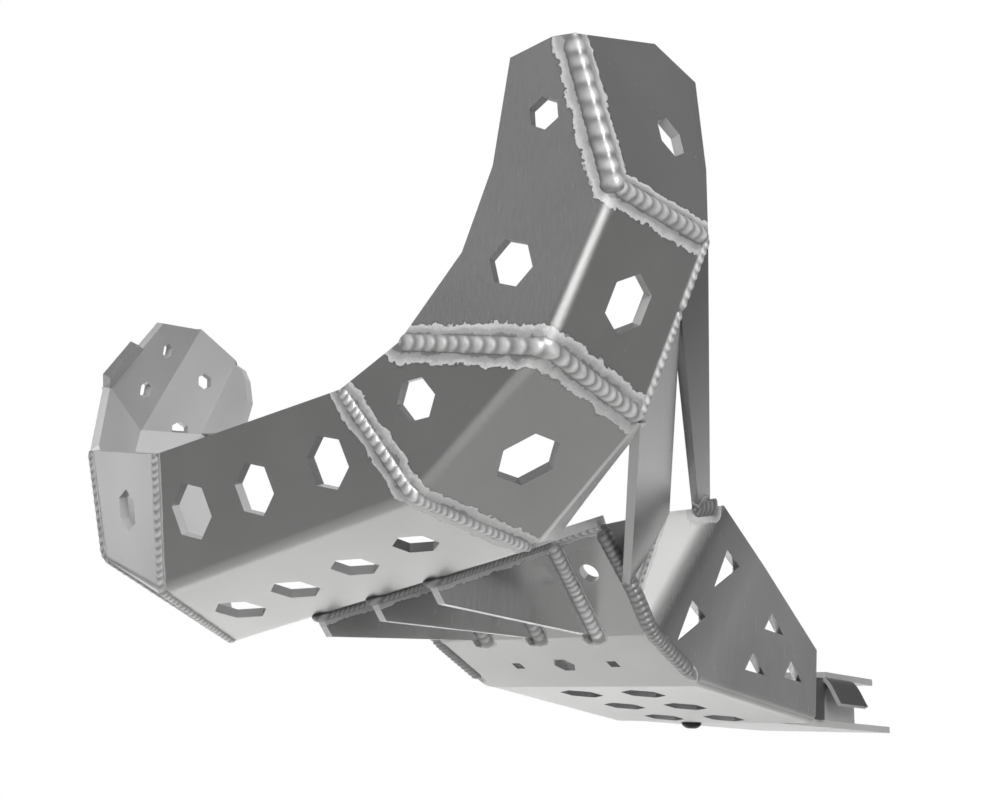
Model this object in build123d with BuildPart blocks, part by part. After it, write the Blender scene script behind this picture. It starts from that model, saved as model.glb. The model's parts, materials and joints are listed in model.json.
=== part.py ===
from build123d import *
import os
from math import cos, radians, sin, tan

# Motorcycle skid plate with an exhaust pipe guard, welded up from folded aluminium sheet.
# Frame: +X to the motorcycle's right, +Y forward, +Z up. The origin is the middle of the
# pan's front fold, on the underside. Millimetres.

# Sheet and weld sizes
SHEET = 5.0
FOLD_RADIUS = 7.0
BEAD_WIDTH = 9.5
BEAD_HEIGHT = 2.4
BEAD_SHOULDER = 1.8
BEAD_CROWN = 5.6
BEAD_ROOT = 3.0
BEAD_LAP = 2.4
BEAD_SIDES = 8
GUSSET_BEAD = 7.5
GUSSET_WRAP = 6.0
EDGE_BEAD = 5.5
EDGE_BEAD_SUNK = 3.2
EDGE_BEAD_LAP = 2.0
EDGE_BEAD_START = 12.0
SEAM_BEAD = 5.0
STRUT_BEAD = 3.6
SEAM_LIFT = 1.0
TACK_RADIUS = 5.0
TACK_HEIGHT = 2.5
TACK_SLOPE = 35.0
TACK_LOW = 0.2
TACK_HIGH = 0.8

# Skid pan
PAN_WIDTH = 172.0
PAN_LENGTH = 152.0
RAMP_RUN = 57.3
RAMP_ANGLE = 19.3
NOSE_ANGLE = 40.0
NOSE_SETBACK = 105.0
NOSE_LENGTH = 125.0
TONGUE_WIDTH = 116.0
TONGUE_LENGTH = 190.0
TONGUE_ANGLE = 6.0

# Side wings, as (y, z) points seen from the side, and how far each facet flares outwards
WING_REAR_HEIGHT = 51.0
WING_REAR_BEND = (-74.0, 92.0)
WING_PEAK = (-15.0, 119.0)
WING_FRONT_TOP = (59.5, 93.4)
WING_FRONT_FOOT = (81.0, 34.0)
WING_CORNER = 80.0
WING_LOW_BEND = (15.0, 0.0)
WING_RAMP_BEND = (57.3, 20.0)
WING_FLARE_MIDDLE = 1.0
WING_FLARE_FRONT = 2.5

# Holes in the pan
HEX_RADIUS = 15.0
HEX_COLUMNS = 50.0
HEX_PITCH = 52.0
HEX_ROWS = 3
HEX_FIRST = 28.0
RAMP_HOLE_UP = 28.0
RAMP_HEX_RADIUS = 8.0
RAMP_SQUARE = 7.0
RAMP_SQUARE_SPACING = 76.0
NOSE_HOLE = 12.5
NOSE_HOLE_X = 63.0
NOSE_HOLE_UP = 46.0
BASE_BOLT_X = 25.0
BASE_BOLT_BACK = 18.0
BASE_BOLT_HOLE = 8.4
WING_BIG_TRIANGLE = ((0.0, 0.0), (-17.0, -6.8), (13.8, -27.5))
WING_BIG_TRIANGLES = ((-22.5, 91.0), (16.7, 49.5))
WING_SMALL_TRIANGLE = ((0.0, 0.0), (9.5, -12.7), (-16.5, -11.7))
WING_SMALL_TRIANGLES = ((-85.4, 63.3), (-61.4, 32.0), (-113.9, 36.3))

# Guard: the ridge along the folds, the free edge in front and the free edge behind.
# Each row lists the points from the top of the left side to the top of the right side.
RIDGE = [
    Vector(-206, 326, 222),
    Vector(-221, 307, 153),
    Vector(-186, 299, 89),
    Vector(-111, 291, 33),
    Vector(80, 282, 3),
    Vector(152, 276, 28),
    Vector(184, 254, 118),
    Vector(178, 229, 199),
]
FRONT = [
    Vector(-175, 331, 218),
    Vector(-164, 322, 171),
    Vector(-113, 315, 99),
    Vector(-78, 315, 82),
    Vector(65, 313, 69),
    Vector(150, 292, 90),
    Vector(165, 293, 132),
    Vector(165, 266, 186),
]
REAR = [
    Vector(-206, 228, 256),
    Vector(-224, 239, 159),
    Vector(-182, 223, 84),
    Vector(-112, 208, 31),
    Vector(122, 197, -6),
    Vector(122, 197, -6),
    Vector(176, 206, 131),
    Vector(176, 192, 185),
]
FRONT_TOP = Vector(-196, 328, 223)
FRONT_NOTCH = Vector(-147, 317, 135)
REAR_TOP = Vector(-203, 261, 259)
REAR_STEP = Vector(-216, 231, 201)
PIPE = Vector(0, 250, 150)
END_TAB_WIDTH = 13.0
END_TAB_TURN = 25.0
END_TAB_SHARE = 0.62
END_TAB_SLANT = 0.2
END_LIP = [
    Vector(161, 199, 179),
    Vector(147, 200, 166),
    Vector(130, 200, 144),
    Vector(124, 203, 118),
]

# Hexagons of the guard: along the ridge, away from it, radius, turn
HEX_SIDE_PLATE = ((35.2, 60.1, 10.4, 54.0),)
HEX_UPPER_FRONT = ((-18.8, -46.7, 7.7, 30.0), (46.3, -32.8, 11.1, 39.5))
HEX_UPPER_REAR = ((42.8, 36.3, 14.1, 3.0),)
HEX_MIDDLE_FRONT = ((62.3, -30.7, 10.4, 28.0),)
HEX_MIDDLE_REAR = ((54.2, 38.3, 16.2, 30.5),)
HEX_LOWER_FRONT = ((45.1, -29.8, 13.8, 35.5), (99.3, -31.7, 14.2, 35.5), (150.4, -33.8, 15.9, 35.5))
HEX_LOWER_REAR = (
    (39.8, 40.8, 12.0, 30.0),
    (86.2, 43.1, 13.1, 30.0),
    (136.5, 45.9, 14.1, 30.0),
    (186.3, 48.0, 15.3, 30.0),
)
HEX_CORNER_FRONT = ((42.0, -36.0, 12.0, 35.5),)
HEX_END_FRONT = ((22.0, -17.0, 5.6, 30.0), (53.0, -18.0, 5.0, 30.0))
HEX_END_REAR = ((17.0, 24.0, 6.6, 30.0), (56.0, 22.0, 5.4, 30.0))

# Struts, gussets and rear bracket
STRUT_SPLIT = 0.4
STRUT_REAR_FOOT = ((22.0, 106.3), (-3.0, 114.9))
STRUT_REACH = 10.0
GUSSET_PITCH = 44.0
GUSSET_TIP_BACK = 11.0
GUSSET_TIP_DROP = 10.0
BRACKET_FROM_END = 124.0
BRACKET_LENGTH = 58.0
BRACKET_HEIGHT = 31.0
FLANGE_FROM_END = 114.0
FLANGE_LENGTH = 84.0
HOOK_SHEET = 3.0
HOOK_FROM_END = 125.0
HOOK_WIDTH = 47.0
HOOK_LEG_WIDTH = 8.0
HOOK_ARCH = (
    (0.0, 36.5),
    (5.5, 36.5),
    (9.5, 33.5),
    (17.0, 17.0),
    (14.3, 15.8),
    (7.0, 31.7),
    (5.0, 33.5),
    (0.0, 33.5),
)

# Fasteners
BOLT_DIAMETER = 8.0
BOLT_HEAD = 15.0
BOLT_HEAD_HEIGHT = 4.6
BOLT_RIM = 1.2
BOLT_CROWN = 4.5
BOLT_LENGTH = 16.0
NUT_FLATS = 13.0
NUT_HEIGHT = 6.5

EDGE = PAN_WIDTH / 2
INNER = EDGE - SHEET
BRACKET_TOP = SHEET + BRACKET_HEIGHT
BRACKET_START = TONGUE_LENGTH - BRACKET_FROM_END
FLANGE_START = TONGUE_LENGTH - FLANGE_FROM_END
FAR = 60.0


def plane_away(p, q, r, kept):
    """Plane through three points, x from p to q, with its normal pointing away from kept."""
    normal = (q - p).cross(r - p).normalized()
    if normal.dot(kept - p) > 0:
        normal = normal * -1
    return Plane(origin=p, x_dir=(q - p).normalized(), z_dir=normal)


def mitre(p, q, first, second, kept):
    """Plane halfway between two panels that meet along p to q."""
    return plane_away(p, q, p + first.z_dir + second.z_dir, kept)


def onto(plane, point):
    """The point moved squarely onto the plane."""
    return point - plane.z_dir * plane.z_dir.dot(point - plane.origin)


def along_x(plane, y, z):
    """The point of the plane that is seen at (y, z) from the side."""
    normal = plane.z_dir
    depth = normal.Y * (y - plane.origin.Y) + normal.Z * (z - plane.origin.Z)
    return Vector(plane.origin.X - depth / normal.X, y, z)


def other_side(point):
    """The mirror image of a point on the motorcycle's other side."""
    return Vector(-point.X, point.Y, point.Z)


def flat(plane, points):
    """Points of a plane in that plane's own two coordinates."""
    local = [plane.to_local_coords(point) for point in points]
    return [(point.X, point.Y) for point in local]


def panel(outer, outline, *trims):
    """A sheet behind its outer face, cut off by planes that point away from it."""
    with BuildPart() as sheet:
        with BuildSketch(outer):
            with BuildLine():
                Polyline(*flat(outer, outline), close=True)
            make_face()
        extrude(amount=-SHEET)
        for trim in trims:
            split(bisect_by=trim, keep=Keep.BOTTOM)
    return sheet.part


def hexagons(outer, holes):
    """Cutters for the hexagonal holes of one panel."""
    with BuildPart() as cutters:
        with BuildSketch(outer):
            for along, away, radius, turn in holes:
                with Locations((along, away)):
                    RegularPolygon(radius=radius, side_count=6, rotation=turn)
        extrude(amount=2 * SHEET, both=True)
    return cutters.part


def folds(part, *pairs):
    """The outer edges that run along the given pairs of points."""
    middles = [(first + second) * 0.5 for first, second in pairs]
    found = []
    for edge in part.edges():
        gaps = [(edge @ 0.5 - middle).length for middle in middles]
        if min(gaps) < SHEET / 2:
            found.append(edge)
    return found


def cut_back(pieces, *others):
    """Pieces joined into one, with the room of the others taken away and loose crumbs left out."""
    with BuildPart() as metal:
        for piece in pieces:
            add(piece)
        for other in others:
            add(other.part, mode=Mode.SUBTRACT)
    return metal.part.solids().sort_by(SortBy.VOLUME)[-1]


def bead(start, end, lift):
    """A weld run with a crowned cap, from start to end, standing up along lift."""
    run = end - start
    with BuildPart() as cap:
        with BuildSketch(Plane(origin=start, x_dir=lift.cross(run), z_dir=run)):
            with BuildLine():
                Polyline(
                    (-BEAD_WIDTH / 2, -BEAD_ROOT),
                    (-BEAD_WIDTH / 2, 0),
                    (-BEAD_CROWN / 2, BEAD_SHOULDER),
                    (0, BEAD_HEIGHT),
                    (BEAD_CROWN / 2, BEAD_SHOULDER),
                    (BEAD_WIDTH / 2, 0),
                    (BEAD_WIDTH / 2, -BEAD_ROOT),
                    close=True,
                )
            make_face()
        extrude(amount=run.length)
    return cap.part


def corner_bead(start, end, radius, lap):
    """A weld run in a corner: an eight-sided rod that laps past both ends, to be cut back later."""
    run = (end - start).normalized()
    with BuildPart() as rod:
        with BuildSketch(Plane(origin=start - run * lap, z_dir=run)):
            RegularPolygon(radius=radius, side_count=BEAD_SIDES, rotation=180 / BEAD_SIDES)
        extrude(amount=(end - start).length + 2 * lap)
    return rod.part


# Guard layout: every front panel and every rear panel holds both ends of its stretch of ridge
front_edge = list(FRONT)
rear_edge = list(REAR)
ridge = list(RIDGE)
front_planes = []
rear_planes = []
for i in range(1, len(ridge) - 1):
    front_planes.append(plane_away(ridge[i], ridge[i + 1], front_edge[i], PIPE))
    rear_planes.append(plane_away(ridge[i], ridge[i + 1], rear_edge[i], PIPE))
    front_edge[i + 1] = onto(front_planes[-1], front_edge[i + 1])
    rear_edge[i + 1] = onto(rear_planes[-1], rear_edge[i + 1])
upper_front, middle_front, lower_front, corner_front, riser_front, end_front = front_planes
upper_rear, middle_rear, lower_rear, corner_rear, riser_rear, end_rear = rear_planes
ridge[0] = onto(upper_front, ridge[0])
front_edge[0] = onto(upper_front, front_edge[0])
front_top = onto(upper_front, FRONT_TOP)
front_notch = onto(upper_front, FRONT_NOTCH)
side_plane = plane_away(ridge[0], ridge[1], rear_edge[1], PIPE)
rear_edge[0] = onto(side_plane, rear_edge[0])
rear_top = onto(side_plane, REAR_TOP)
rear_step = onto(side_plane, REAR_STEP)
ramp_rise = RAMP_RUN * tan(radians(RAMP_ANGLE))


def on_nose(x, y):
    """The point of the nose's outer face at x and y."""
    return Vector(x, y, ramp_rise + (y - RAMP_RUN) * tan(radians(NOSE_ANGLE)))


nose_top = on_nose(0, NOSE_SETBACK)
floor_plane = plane_away(rear_edge[3], rear_edge[4], nose_top, PIPE)
lip_plane = plane_away(rear_edge[6], rear_edge[7], END_LIP[1], PIPE)


def seam_trims(index, first, second, edge):
    """The two sides of the mitre between neighbouring panels at a point of the ridge."""
    before = mitre(ridge[index], edge[index], first, second, ridge[index - 1])
    after = mitre(ridge[index], edge[index], first, second, ridge[index + 1])
    return before, after


def channel_panels(index, front, rear, front_trims, rear_trims):
    """The front and rear panels of one channel, mitred along the ridge."""
    start, end = ridge[index], ridge[index + 1]
    front_fold = mitre(start, end, front, rear, front_edge[index])
    rear_fold = mitre(start, end, front, rear, rear_edge[index])
    front_outline = [start, end, front_edge[index + 1], front_edge[index]]
    rear_outline = [start, end, rear_edge[index + 1], rear_edge[index]]
    if rear_edge[index + 1] == rear_edge[index]:
        rear_outline.pop()
    return (
        panel(front, front_outline, front_fold, *front_trims),
        panel(rear, rear_outline, rear_fold, *rear_trims),
    )


front_seams = [seam_trims(i + 2, front_planes[i], front_planes[i + 1], front_edge) for i in range(5)]
rear_seams = [seam_trims(i + 2, rear_planes[i], rear_planes[i + 1], rear_edge) for i in range(5)]
side_seam_above = mitre(ridge[1], rear_edge[1], side_plane, upper_rear, ridge[0])
side_seam_below = mitre(ridge[1], rear_edge[1], side_plane, upper_rear, ridge[2])

# Upper channel: one front facet past the bend of the ridge, and the rear facet below the side plate
upper_front_panel = panel(
    upper_front,
    [ridge[0], ridge[1], ridge[2], front_edge[2], front_notch, front_edge[1], front_edge[0], front_top],
    mitre(ridge[0], ridge[1], upper_front, side_plane, front_edge[1]),
    mitre(ridge[1], ridge[2], upper_front, upper_rear, front_edge[1]),
    front_seams[0][0],
)
upper_rear_panel = panel(
    upper_rear,
    [ridge[1], ridge[2], rear_edge[2], rear_edge[1]],
    mitre(ridge[1], ridge[2], upper_front, upper_rear, rear_edge[1]),
    side_seam_below,
    rear_seams[0][0],
)
with BuildPart() as guard_upper_channel:
    add(upper_front_panel)
    add(upper_rear_panel)
    fillet(folds(guard_upper_channel.part, (ridge[1], ridge[2])), radius=FOLD_RADIUS)
    add(hexagons(upper_front, HEX_UPPER_FRONT), mode=Mode.SUBTRACT)
    add(hexagons(upper_rear, HEX_UPPER_REAR), mode=Mode.SUBTRACT)

# Side plate at the top left
side_panel = panel(
    side_plane,
    [ridge[0], ridge[1], rear_edge[1], rear_step, rear_edge[0], rear_top],
    mitre(ridge[0], ridge[1], upper_front, side_plane, rear_edge[1]),
    side_seam_above,
)
with BuildPart() as guard_side_plate:
    add(side_panel)
    add(hexagons(side_plane, HEX_SIDE_PLATE), mode=Mode.SUBTRACT)

# Middle channel
middle_panels = channel_panels(
    2,
    middle_front,
    middle_rear,
    (front_seams[0][1], front_seams[1][0]),
    (rear_seams[0][1], rear_seams[1][0]),
)
with BuildPart() as guard_middle_channel:
    add(middle_panels[0])
    add(middle_panels[1])
    fillet(folds(guard_middle_channel.part, (ridge[2], ridge[3])), radius=FOLD_RADIUS)
    add(guard_upper_channel.part, mode=Mode.SUBTRACT)
    add(hexagons(middle_front, HEX_MIDDLE_FRONT), mode=Mode.SUBTRACT)
    add(hexagons(middle_rear, HEX_MIDDLE_REAR), mode=Mode.SUBTRACT)

# Lower channel, with the floor that slopes up to the pan's nose
floor_fold = mitre(rear_edge[3], rear_edge[4], lower_rear, floor_plane, ridge[3])
floor_back = mitre(rear_edge[3], rear_edge[4], lower_rear, floor_plane, nose_top)
lower_panels = channel_panels(
    3,
    lower_front,
    lower_rear,
    (front_seams[1][1], front_seams[2][0]),
    (rear_seams[1][1], rear_seams[2][0], floor_fold),
)


def under_floor(x):
    """Where the nose's outer face meets the guard's floor at x."""
    low = on_nose(x, RAMP_RUN)
    climb = on_nose(x, NOSE_LENGTH) - low
    normal = floor_plane.z_dir
    return low + climb * (normal.dot(floor_plane.origin - low) / normal.dot(climb))


floor_left = under_floor(-EDGE)
floor_right = under_floor(EDGE)
floor_overlap = (floor_left - rear_edge[3]).normalized() * (2 * SHEET)
floor_corners = [rear_edge[3], rear_edge[4], floor_right + floor_overlap, floor_left + floor_overlap]
floor_panel = panel(floor_plane, floor_corners, floor_back)
with BuildPart() as guard_lower_channel:
    add(lower_panels[0])
    add(lower_panels[1])
    add(floor_panel)
    fillet(folds(guard_lower_channel.part, (ridge[3], ridge[4])), radius=FOLD_RADIUS)
    fillet(folds(guard_lower_channel.part, (rear_edge[3], rear_edge[4])), radius=FOLD_RADIUS)
    add(guard_middle_channel.part, mode=Mode.SUBTRACT)
    add(hexagons(lower_front, HEX_LOWER_FRONT), mode=Mode.SUBTRACT)
    add(hexagons(lower_rear, HEX_LOWER_REAR), mode=Mode.SUBTRACT)

# Corner channel, riser and end channel on the right
corner_panels = channel_panels(
    4,
    corner_front,
    corner_rear,
    (front_seams[2][1], front_seams[3][0]),
    (rear_seams[2][1], rear_seams[3][0]),
)
with BuildPart() as guard_corner_channel:
    add(corner_panels[0])
    add(corner_panels[1])
    fillet(folds(guard_corner_channel.part, (ridge[4], ridge[5])), radius=FOLD_RADIUS)
    add(guard_lower_channel.part, mode=Mode.SUBTRACT)
    add(hexagons(corner_front, HEX_CORNER_FRONT), mode=Mode.SUBTRACT)

riser_panels = channel_panels(
    5,
    riser_front,
    riser_rear,
    (front_seams[3][1], front_seams[4][0]),
    (rear_seams[3][1], rear_seams[4][0]),
)
with BuildPart() as guard_riser_channel:
    add(riser_panels[0])
    add(riser_panels[1])
    add(guard_corner_channel.part, mode=Mode.SUBTRACT)
    add(guard_lower_channel.part, mode=Mode.SUBTRACT)

lip_fold = mitre(rear_edge[6], rear_edge[7], end_rear, lip_plane, ridge[6])
lip_back = mitre(rear_edge[6], rear_edge[7], end_rear, lip_plane, END_LIP[1])
end_panels = channel_panels(
    6,
    end_front,
    end_rear,
    (front_seams[4][1],),
    (rear_seams[4][1], lip_fold),
)
lip_corners = [rear_edge[6], rear_edge[7]] + [onto(lip_plane, point) for point in END_LIP]
lip_panel = panel(lip_plane, lip_corners, lip_back)
with BuildPart() as guard_end_channel:
    add(end_panels[0])
    add(end_panels[1])
    add(lip_panel)
    add(guard_riser_channel.part, mode=Mode.SUBTRACT)
    add(hexagons(end_front, HEX_END_FRONT), mode=Mode.SUBTRACT)
    add(hexagons(end_rear, HEX_END_REAR), mode=Mode.SUBTRACT)

# End tab: a small plate tacked to the front edge of the end channel
tab_start = front_edge[6]
tab_end = front_edge[6] + (front_edge[7] - front_edge[6]) * END_TAB_SHARE
tab_away = end_front.z_dir.cross(tab_end - tab_start).normalized()
if tab_away.dot(ridge[6] - tab_start) > 0:
    tab_away = tab_away * -1
tab_reach = tab_away * cos(radians(END_TAB_TURN)) - end_front.z_dir * sin(radians(END_TAB_TURN))
tab_reach = tab_reach * END_TAB_WIDTH
tab_plane = plane_away(tab_start, tab_end, tab_start + tab_reach, PIPE)
tab_slant = (tab_end - tab_start) * END_TAB_SLANT
with BuildPart() as guard_end_tab:
    add(
        panel(
            tab_plane,
            [tab_start, tab_end, tab_end + tab_reach - tab_slant, tab_start + tab_reach],
            mitre(tab_start, tab_end, end_front, tab_plane, tab_start + tab_reach),
        )
    )
    add(guard_end_channel.part, mode=Mode.SUBTRACT)
    add(guard_riser_channel.part, mode=Mode.SUBTRACT)

# Layout of the pan, left half: base, ramp, nose and tongue on their undersides
inside = Vector(0, -PAN_LENGTH / 2, NOSE_LENGTH)
outside = Vector(-PAN_LENGTH - PAN_WIDTH, 0, NOSE_LENGTH)
fold_middle = Vector(0, 0, 0)
fold_left = Vector(-EDGE, 0, 0)
fold_spread = Vector(-EDGE - FAR, 0, 0)
tail_middle = Vector(0, -PAN_LENGTH, 0)
tail_left = Vector(-EDGE, -PAN_LENGTH, 0)
tongue_left = Vector(-TONGUE_WIDTH / 2, -PAN_LENGTH, 0)
ramp_step = Vector(0, RAMP_RUN, ramp_rise)
tongue_step = Vector(0, -cos(radians(TONGUE_ANGLE)), sin(radians(TONGUE_ANGLE))) * TONGUE_LENGTH
base_plane = plane_away(tail_middle, tail_left, fold_left, inside)
ramp_plane = plane_away(fold_middle, fold_left, fold_left + ramp_step, inside)
nose_plane = plane_away(ramp_step, ramp_step + fold_left, nose_top, inside)
tongue_plane = plane_away(tail_middle, tail_left, tail_middle + tongue_step, inside)
below_floor = plane_away(rear_edge[3], rear_edge[4], nose_top, -inside)


def flared(previous, low, high, angle):
    """The next facet of a wing's inner face, bent outwards about the line from low to high."""
    across = previous.z_dir.cross(high - low).normalized()
    if across.Y < 0:
        across = across * -1
    turned = across * cos(radians(angle)) - previous.z_dir * sin(radians(angle))
    return plane_away(low, high, low + turned, outside)


def back_of(facet):
    """The outer face of a wing facet, pointing outwards."""
    return Plane(origin=facet.origin - facet.z_dir * SHEET, x_dir=facet.x_dir, z_dir=-facet.z_dir)


# Wing facets, laid out on their inner faces from the rear to the front
wing_rear = Plane(origin=(-INNER, 0, 0), x_dir=(0, 1, 0), z_dir=(1, 0, 0))
tail_foot = along_x(wing_rear, -PAN_LENGTH, 0)
wing_tail = along_x(wing_rear, -PAN_LENGTH, WING_REAR_HEIGHT)
rear_bend_low = along_x(wing_rear, *WING_LOW_BEND)
rear_bend_high = along_x(wing_rear, *WING_REAR_BEND)
wing_middle = flared(wing_rear, rear_bend_low, rear_bend_high, WING_FLARE_MIDDLE)
front_bend_low = along_x(wing_middle, *WING_RAMP_BEND)
front_bend_high = along_x(wing_middle, *WING_PEAK)
wing_front = flared(wing_middle, front_bend_low, front_bend_high, WING_FLARE_FRONT)
wing_top = along_x(wing_front, *WING_FRONT_TOP)
wing_foot = along_x(wing_front, *WING_FRONT_FOOT)

base_panel = panel(base_plane, [fold_middle, fold_left, tail_left, tail_middle])
ramp_panel = panel(
    ramp_plane,
    [fold_middle, fold_spread, fold_spread + ramp_step, ramp_step],
    back_of(wing_middle),
)
nose_shoulder = on_nose(0, WING_CORNER)
nose_corner = along_x(back_of(wing_front), nose_shoulder.Y, nose_shoulder.Z)
nose_panel = panel(
    nose_plane,
    [
        ramp_step,
        ramp_step + fold_spread,
        nose_shoulder + fold_spread,
        nose_corner,
        floor_left,
        on_nose(-EDGE, NOSE_LENGTH),
        on_nose(0, NOSE_LENGTH),
    ],
    back_of(wing_front),
)
tongue_panel = panel(
    tongue_plane,
    [tail_middle, tongue_left, tongue_left + tongue_step, tail_middle + tongue_step],
)
wing_rear_panel = panel(wing_rear, [tail_foot, rear_bend_low, rear_bend_high, wing_tail], ramp_plane)
wing_middle_panel = panel(
    wing_middle,
    [rear_bend_low, front_bend_low, front_bend_high, rear_bend_high],
    ramp_plane,
)
wing_front_panel = panel(wing_front, [front_bend_low, wing_foot, wing_top, front_bend_high], nose_plane)

# Holes of the pan, cut as bars through the sheet
with BuildPart() as base_holes:
    with BuildSketch(Plane.XY):
        for row in range(HEX_ROWS):
            for side in (-1, 1):
                with Locations((side * HEX_COLUMNS / 2, -HEX_FIRST - row * HEX_PITCH)):
                    RegularPolygon(radius=HEX_RADIUS, side_count=6, rotation=30)
    extrude(amount=2 * SHEET, both=True)
ramp_sheet = Plane(origin=(0, 0, 0), x_dir=(1, 0, 0), z_dir=ramp_plane.z_dir)
nose_sheet = Plane(origin=ramp_step, x_dir=(1, 0, 0), z_dir=nose_plane.z_dir)
tongue_sheet = Plane(origin=tail_middle, x_dir=(1, 0, 0), z_dir=tongue_plane.z_dir)
with BuildPart() as ramp_holes:
    with BuildSketch(ramp_sheet):
        with Locations((0, -RAMP_HOLE_UP)):
            RegularPolygon(radius=RAMP_HEX_RADIUS, side_count=6)
        for side in (-1, 1):
            with Locations((side * RAMP_SQUARE_SPACING / 2, -RAMP_HOLE_UP)):
                Rectangle(RAMP_SQUARE, RAMP_SQUARE)
    extrude(amount=2 * SHEET, both=True)
with BuildPart() as nose_hole:
    with BuildSketch(nose_sheet):
        with Locations((-NOSE_HOLE_X, -NOSE_HOLE_UP)):
            Circle(NOSE_HOLE / 2)
    extrude(amount=2 * SHEET, both=True)
with BuildPart() as bolt_hole:
    with BuildSketch(tongue_sheet):
        with Locations((BASE_BOLT_X, BASE_BOLT_BACK)):
            Circle(BASE_BOLT_HOLE / 2)
    extrude(amount=2 * SHEET, both=True)
with BuildPart() as wing_holes:
    with BuildSketch(Plane.YZ):
        for y, z in WING_BIG_TRIANGLES:
            with BuildLine():
                Polyline(*[(y + dy, z + dz) for dy, dz in WING_BIG_TRIANGLE], close=True)
            make_face()
        for y, z in WING_SMALL_TRIANGLES:
            with BuildLine():
                Polyline(*[(y + dy, z + dz) for dy, dz in WING_SMALL_TRIANGLE], close=True)
            make_face()
    extrude(amount=-EDGE - FAR)

with BuildPart() as skid_pan:
    add(base_panel)
    add(ramp_panel)
    add(nose_panel)
    add(tongue_panel)
    add(wing_rear_panel)
    add(wing_middle_panel)
    add(wing_front_panel)
    mirror(about=Plane.YZ)
    fillet(folds(skid_pan.part, (fold_left, tail_left)), radius=FOLD_RADIUS)
    fillet(folds(skid_pan.part, (other_side(fold_left), other_side(tail_left))), radius=FOLD_RADIUS)
    split(bisect_by=below_floor, keep=Keep.BOTTOM)
    add(base_holes.part, mode=Mode.SUBTRACT)
    add(ramp_holes.part, mode=Mode.SUBTRACT)
    add(nose_hole.part, mode=Mode.SUBTRACT)
    add(bolt_hole.part, mode=Mode.SUBTRACT)
    add(wing_holes.part, mode=Mode.SUBTRACT)

# Corner plate: the triangle between the nose, the front edge of the left wing and the guard's floor
wing_front_top = along_x(back_of(wing_front), *WING_FRONT_TOP)
corner_left = plane_away(nose_corner, wing_front_top, floor_left, inside)
with BuildPart() as corner_plate_left:
    add(panel(corner_left, [nose_corner, wing_front_top, floor_left], below_floor))
    add(skid_pan.part, mode=Mode.SUBTRACT)
    add(guard_lower_channel.part, mode=Mode.SUBTRACT)

# Struts between the guard's left rear edge and the left wing
strut_split = rear_edge[1] + (rear_edge[2] - rear_edge[1]) * STRUT_SPLIT
wing_edge_middle = (nose_corner + wing_front_top) * 0.5
strut_front_plane = plane_away(strut_split, rear_edge[2], wing_edge_middle, inside)
strut_run = (wing_edge_middle - (strut_split + rear_edge[2]) * 0.5).normalized() * STRUT_REACH
ahead_of_wing = plane_away(nose_corner, wing_front_top, nose_corner + wing_front.z_dir, PIPE)
strut_front_panel = panel(
    strut_front_plane,
    [
        strut_split,
        rear_edge[2],
        onto(strut_front_plane, nose_corner) + strut_run,
        onto(strut_front_plane, wing_front_top) + strut_run,
    ],
    ahead_of_wing,
)
with BuildPart() as strut_front:
    add(
        cut_back(
            [strut_front_panel],
            guard_upper_channel,
            guard_middle_channel,
            skid_pan,
            corner_plate_left,
        )
    )

strut_foot_front = along_x(back_of(wing_front), *STRUT_REAR_FOOT[0])
strut_foot_rear = along_x(back_of(wing_front), *STRUT_REAR_FOOT[1])
strut_foot_middle = (strut_foot_front + strut_foot_rear) * 0.5
strut_rear_plane = plane_away(rear_edge[1], strut_split, strut_foot_middle, inside)
strut_drop = (strut_foot_middle - (rear_edge[1] + strut_split) * 0.5).normalized() * STRUT_REACH
above_wing = plane_away(strut_foot_front, strut_foot_rear, strut_foot_front + wing_front.z_dir, rear_edge[1])
strut_rear_panel = panel(
    strut_rear_plane,
    [
        rear_edge[1],
        strut_split,
        onto(strut_rear_plane, strut_foot_front) + strut_drop,
        onto(strut_rear_plane, strut_foot_rear) + strut_drop,
    ],
    above_wing,
)
with BuildPart() as strut_rear:
    add(cut_back([strut_rear_panel], guard_upper_channel, guard_side_plate, strut_front, skid_pan))


# Gussets between the guard's floor and the nose
nose_front = Plane(origin=nose_plane.origin, x_dir=nose_plane.x_dir, z_dir=-nose_plane.z_dir)


def gusset_points(x):
    """Foot, lower tip and upper tip of the gusset at x."""
    share = (x - rear_edge[3].X) / (rear_edge[4].X - rear_edge[3].X)
    bend = rear_edge[3] + (rear_edge[4] - rear_edge[3]) * share
    tip = bend - Vector(0, GUSSET_TIP_BACK, GUSSET_TIP_DROP)
    return Vector(x, RAMP_RUN, ramp_rise), tip, bend


def gusset(x):
    """One upright rib in the plane at x."""
    foot, tip, bend = gusset_points(x)
    peak = under_floor(x) + Vector(0, 0, GUSSET_PITCH)
    middle = Plane(origin=(x, 0, 0), x_dir=(0, 1, 0), z_dir=(1, 0, 0))
    with BuildPart() as rib:
        with BuildSketch(middle):
            with BuildLine():
                Polyline(*flat(middle, [foot, tip, bend, peak]), close=True)
            make_face()
        extrude(amount=SHEET / 2, both=True)
        split(bisect_by=below_floor, keep=Keep.BOTTOM)
        add(skid_pan.part, mode=Mode.SUBTRACT)
        add(guard_lower_channel.part, mode=Mode.SUBTRACT)
        split(bisect_by=nose_front, keep=Keep.BOTTOM)
    return rib.part


with BuildPart() as gusset_left:
    add(gusset(-GUSSET_PITCH))
with BuildPart() as gusset_centre:
    add(gusset(0))
with BuildPart() as gusset_right:
    add(gusset(GUSSET_PITCH))

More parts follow.
